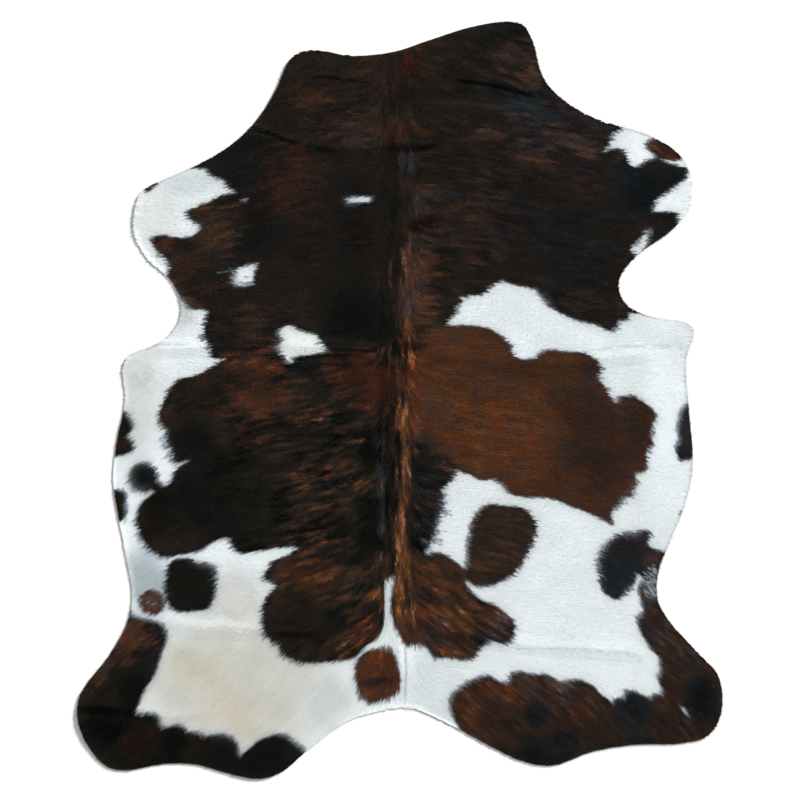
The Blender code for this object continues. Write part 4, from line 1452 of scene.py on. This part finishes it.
def make_sky(settings):
    """Even light from a pale room, dimmer overhead than near the floor."""
    world = bpy.data.worlds.new("pale room")
    bpy.context.scene.world = world
    world.use_nodes = True
    tree = world.node_tree
    around = tree.nodes.new("ShaderNodeTexCoord")
    split = tree.nodes.new("ShaderNodeSeparateXYZ")
    ramp = tree.nodes.new("ShaderNodeValToRGB")
    low, high = (opaque((v, v, v)) for v in (settings.room_low, settings.room_high))
    fill_ramp(ramp.color_ramp, [(0.0, low), (LOW_ROOM_TO, low), (HIGH_ROOM_FROM, high)])
    tree.links.new(around.outputs["Generated"], split.inputs[0])
    tree.links.new(split.outputs["Z"], ramp.inputs["Fac"])
    tree.links.new(ramp.outputs["Color"], tree.nodes["Background"].inputs["Color"])


def make_floor(settings):
    nothing_selected()
    bpy.ops.mesh.primitive_plane_add(size=settings.floor_size)
    floor = bpy.context.object
    floor.name = "floor"
    bpy.ops.object.transform_apply(location=True, rotation=True, scale=True)
    recipe = Recipe("pale floor")
    material = recipe.finish(
        Base_Color=opaque(settings.floor_colour), Roughness=FLOOR_ROUGHNESS,
        Specular_IOR_Level=0.0,
    )
    floor.data.materials.append(material)


def make_camera(settings):
    """Straight above the hide, its neck at the top of the picture."""
    nothing_selected()
    bpy.ops.object.camera_add()
    camera = bpy.context.object
    camera.name = "camera"
    camera.data.lens = settings.lens
    height = settings.picture_width * settings.lens / camera.data.sensor_width
    camera.location = (*on_plan((0, 0)), height)
    camera.rotation_euler = (0, 0, 0)
    camera.data.dof.use_dof = False
    bpy.context.scene.camera = camera


def colour_of(text):
    """The linear numbers, by the sRGB rule, of a colour written as six hex digits."""
    values = np.array([int(text[i : i + 2], 16) for i in (0, 2, 4)]) / 255
    return tuple(np.where(values <= 0.04045, values / 12.92, ((values + 0.055) / 1.055) ** 2.4))


def colour_property(name, text, description):
    return bpy.props.FloatVectorProperty(
        name=name, description=description, subtype="COLOR", size=3, min=0, max=1,
        default=colour_of(text),
    )


def length_property(name, default, description):
    return bpy.props.FloatProperty(
        name=name, description=description, default=default, min=0, unit="LENGTH", precision=5
    )


def angle_property(name, degrees, description):
    return bpy.props.FloatProperty(
        name=name, description=description, default=math.radians(degrees), subtype="ANGLE"
    )


def number_property(name, default, description):
    return bpy.props.FloatProperty(name=name, description=description, default=default, min=0)


class CowhideSkinSettings(bpy.types.PropertyGroup):
    thickness: length_property("Thickness", 2.4 * MM, "The skin and its dense hair roots")
    spacing: length_property("Spacing", 9.5 * MM, "The size of the sheet's faces")
    suede: colour_property("Suede", "c8b596", "The flesh side's main colour")
    suede_shade: colour_property("Suede shade", "9d8765", "The flesh side's darker parts")


class CowhideHairSettings(bpy.types.PropertyGroup):
    spacing: length_property("Spacing", 3.85 * MM, "Distance between neighbouring locks")
    length: length_property("Length", 22 * MM, "A lock's usual length")
    length_spread: number_property("Length spread", 0.3, "How much locks differ in length")
    width: length_property("Width", 3.6 * MM, "A lock's usual width")
    width_spread: number_property("Width spread", 0.3, "How much locks differ in width")
    pile: length_property("Pile", 2.4 * MM, "How far the hair stands off the skin")
    rim_pile: length_property("Rim pile", 1.0 * MM, "The same at the trimmed edge")
    lead: number_property("Lead", 0.57, "The part of a lock's length it shows past its root")
    wisp_reach: length_property("Wisp reach", 14 * MM, "The longest wisps at a border")
    front_from: length_property("Front from", 0.3, "Where the dark hair's front pieces begin")
    jet: colour_property("Jet", "040403", "The darkest hair")
    black: colour_property("Black", "121310", "Black hair")
    dark_brown: colour_property("Dark brown", "221c17", "Dark brown hair")
    chestnut: colour_property("Chestnut", "30221a", "Chestnut hair")
    brown: colour_property("Brown", "3f291c", "Brown hair")
    warm_brown: colour_property("Warm brown", "50311c", "Warm brown hair")
    tan: colour_property("Tan", "623c22", "Tan hair")
    pale_tan: colour_property("Pale tan", "845a3a", "The lightest hair along the spine")
    red_cast: colour_property("Red cast", "ffcdbb", "What redder hair is tinted with")
    # The pale blue-grey of the painted sheen on dark hair, and of roan grey.
    bloom: colour_property("Bloom", "d2eeff", "The blue-grey bloom on some dark hair")
    roan: colour_property("Roan", "b9c2cc", "What dark hair is mixed with where it is roan")
    white: colour_property("White", "f6faf9", "White hair")
    cream: colour_property("Cream", "ecdfc2", "Stained white hair")
    cool_white: colour_property("Cool white", "e8f4fa", "White hair with a blue cast")
    dull_white: colour_property("Dull white", "a5a8a9", "What duller white hair is tinted with")
    white_roughness: number_property("White roughness", 0.62, "How matt the white hair is")
    white_shine: number_property("White shine", 0.35, "How strongly the white hair reflects")
    dark_roughness: number_property("Dark roughness", 0.42, "How matt the dark hair is")
    dark_shine: number_property("Dark shine", 0.03, "How strongly the dark hair reflects")


class CowhideStudioSettings(bpy.types.PropertyGroup):
    picture_width: length_property("Picture width", 2.24, "What the camera takes in")
    lens: number_property("Lens", 85.0, "The camera's focal length in millimetres")
    floor_size: length_property("Floor size", 240.0, "One side of the floor")
    floor_colour: colour_property("Floor", "f1f1f1", "The floor's colour")
    room_low: number_property("Room, low", 0.62, "The room's brightness near the floor")
    room_high: number_property("Room, overhead", 0.4, "The room's brightness overhead")
    key_power: number_property("Key light", 5.5, "The main light's strength")
    key_rise: angle_property("Key height", 24, "How high the main light stands")
    key_side: angle_property("Key side", 40, "Which side it stands on, from the right")
    key_breadth: angle_property("Key breadth", 12, "How wide the main light is")


class COWHIDE_OT_skin(bpy.types.Operator):
    """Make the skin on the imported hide: a tanned sheet with its creases and cut edge"""

    bl_idname = "cowhide.skin"
    bl_label = "Skin"

    def execute(self, context):
        make_skin(context.scene.cowhide_skin)
        return {"FINISHED"}


class COWHIDE_OT_white_hair(bpy.types.Operator):
    """Lay the white hair on the skin"""

    bl_idname = "cowhide.white_hair"
    bl_label = "White hair"

    def execute(self, context):
        make_white_hair()
        return {"FINISHED"}


class COWHIDE_OT_dark_hair(bpy.types.Operator):
    """Lay the black and brown hair on the skin"""

    bl_idname = "cowhide.dark_hair"
    bl_label = "Black and brown hair"

    def execute(self, context):
        make_dark_hair()
        return {"FINISHED"}


class COWHIDE_OT_studio(bpy.types.Operator):
    """Set up the floor, the lights and the camera"""

    bl_idname = "cowhide.studio"
    bl_label = "Studio"

    def execute(self, context):
        settings = context.scene.cowhide_studio
        make_floor(settings)
        make_sky(settings)
        make_camera(settings)
        make_key(settings)
        context.scene.view_settings.view_transform = "Standard"
        return {"FINISHED"}


OPERATORS = (
    COWHIDE_OT_skin, COWHIDE_OT_white_hair, COWHIDE_OT_dark_hair, COWHIDE_OT_studio,
)
SETTINGS = {
    "cowhide_skin": CowhideSkinSettings,
    "cowhide_hair": CowhideHairSettings,
    "cowhide_studio": CowhideStudioSettings,
}


class COWHIDE_PT_panel(bpy.types.Panel):
    """The rug's pieces and their settings"""

    bl_label = "Cowhide Rug"
    bl_space_type = "VIEW_3D"
    bl_region_type = "UI"
    bl_category = "Cowhide"

    def draw(self, context):
        for operator in OPERATORS:
            self.layout.operator(operator.bl_idname)
        for name, group in SETTINGS.items():
            box = self.layout.box()
            for key in group.__annotations__:
                box.prop(getattr(context.scene, name), key)


def register():
    for group in SETTINGS.values():
        bpy.utils.register_class(group)
    for name, group in SETTINGS.items():
        setattr(bpy.types.Scene, name, bpy.props.PointerProperty(type=group))
    for operator in OPERATORS:
        bpy.utils.register_class(operator)
    bpy.utils.register_class(COWHIDE_PT_panel)


def unregister():
    bpy.utils.unregister_class(COWHIDE_PT_panel)
    for operator in reversed(OPERATORS):
        bpy.utils.unregister_class(operator)
    for name, group in SETTINGS.items():
        delattr(bpy.types.Scene, name)
        bpy.utils.unregister_class(group)


def main():
    register()
    bpy.ops.cowhide.skin()
    bpy.ops.cowhide.white_hair()
    bpy.ops.cowhide.dark_hair()
    bpy.ops.cowhide.studio()


if __name__ == "__main__":
    main()
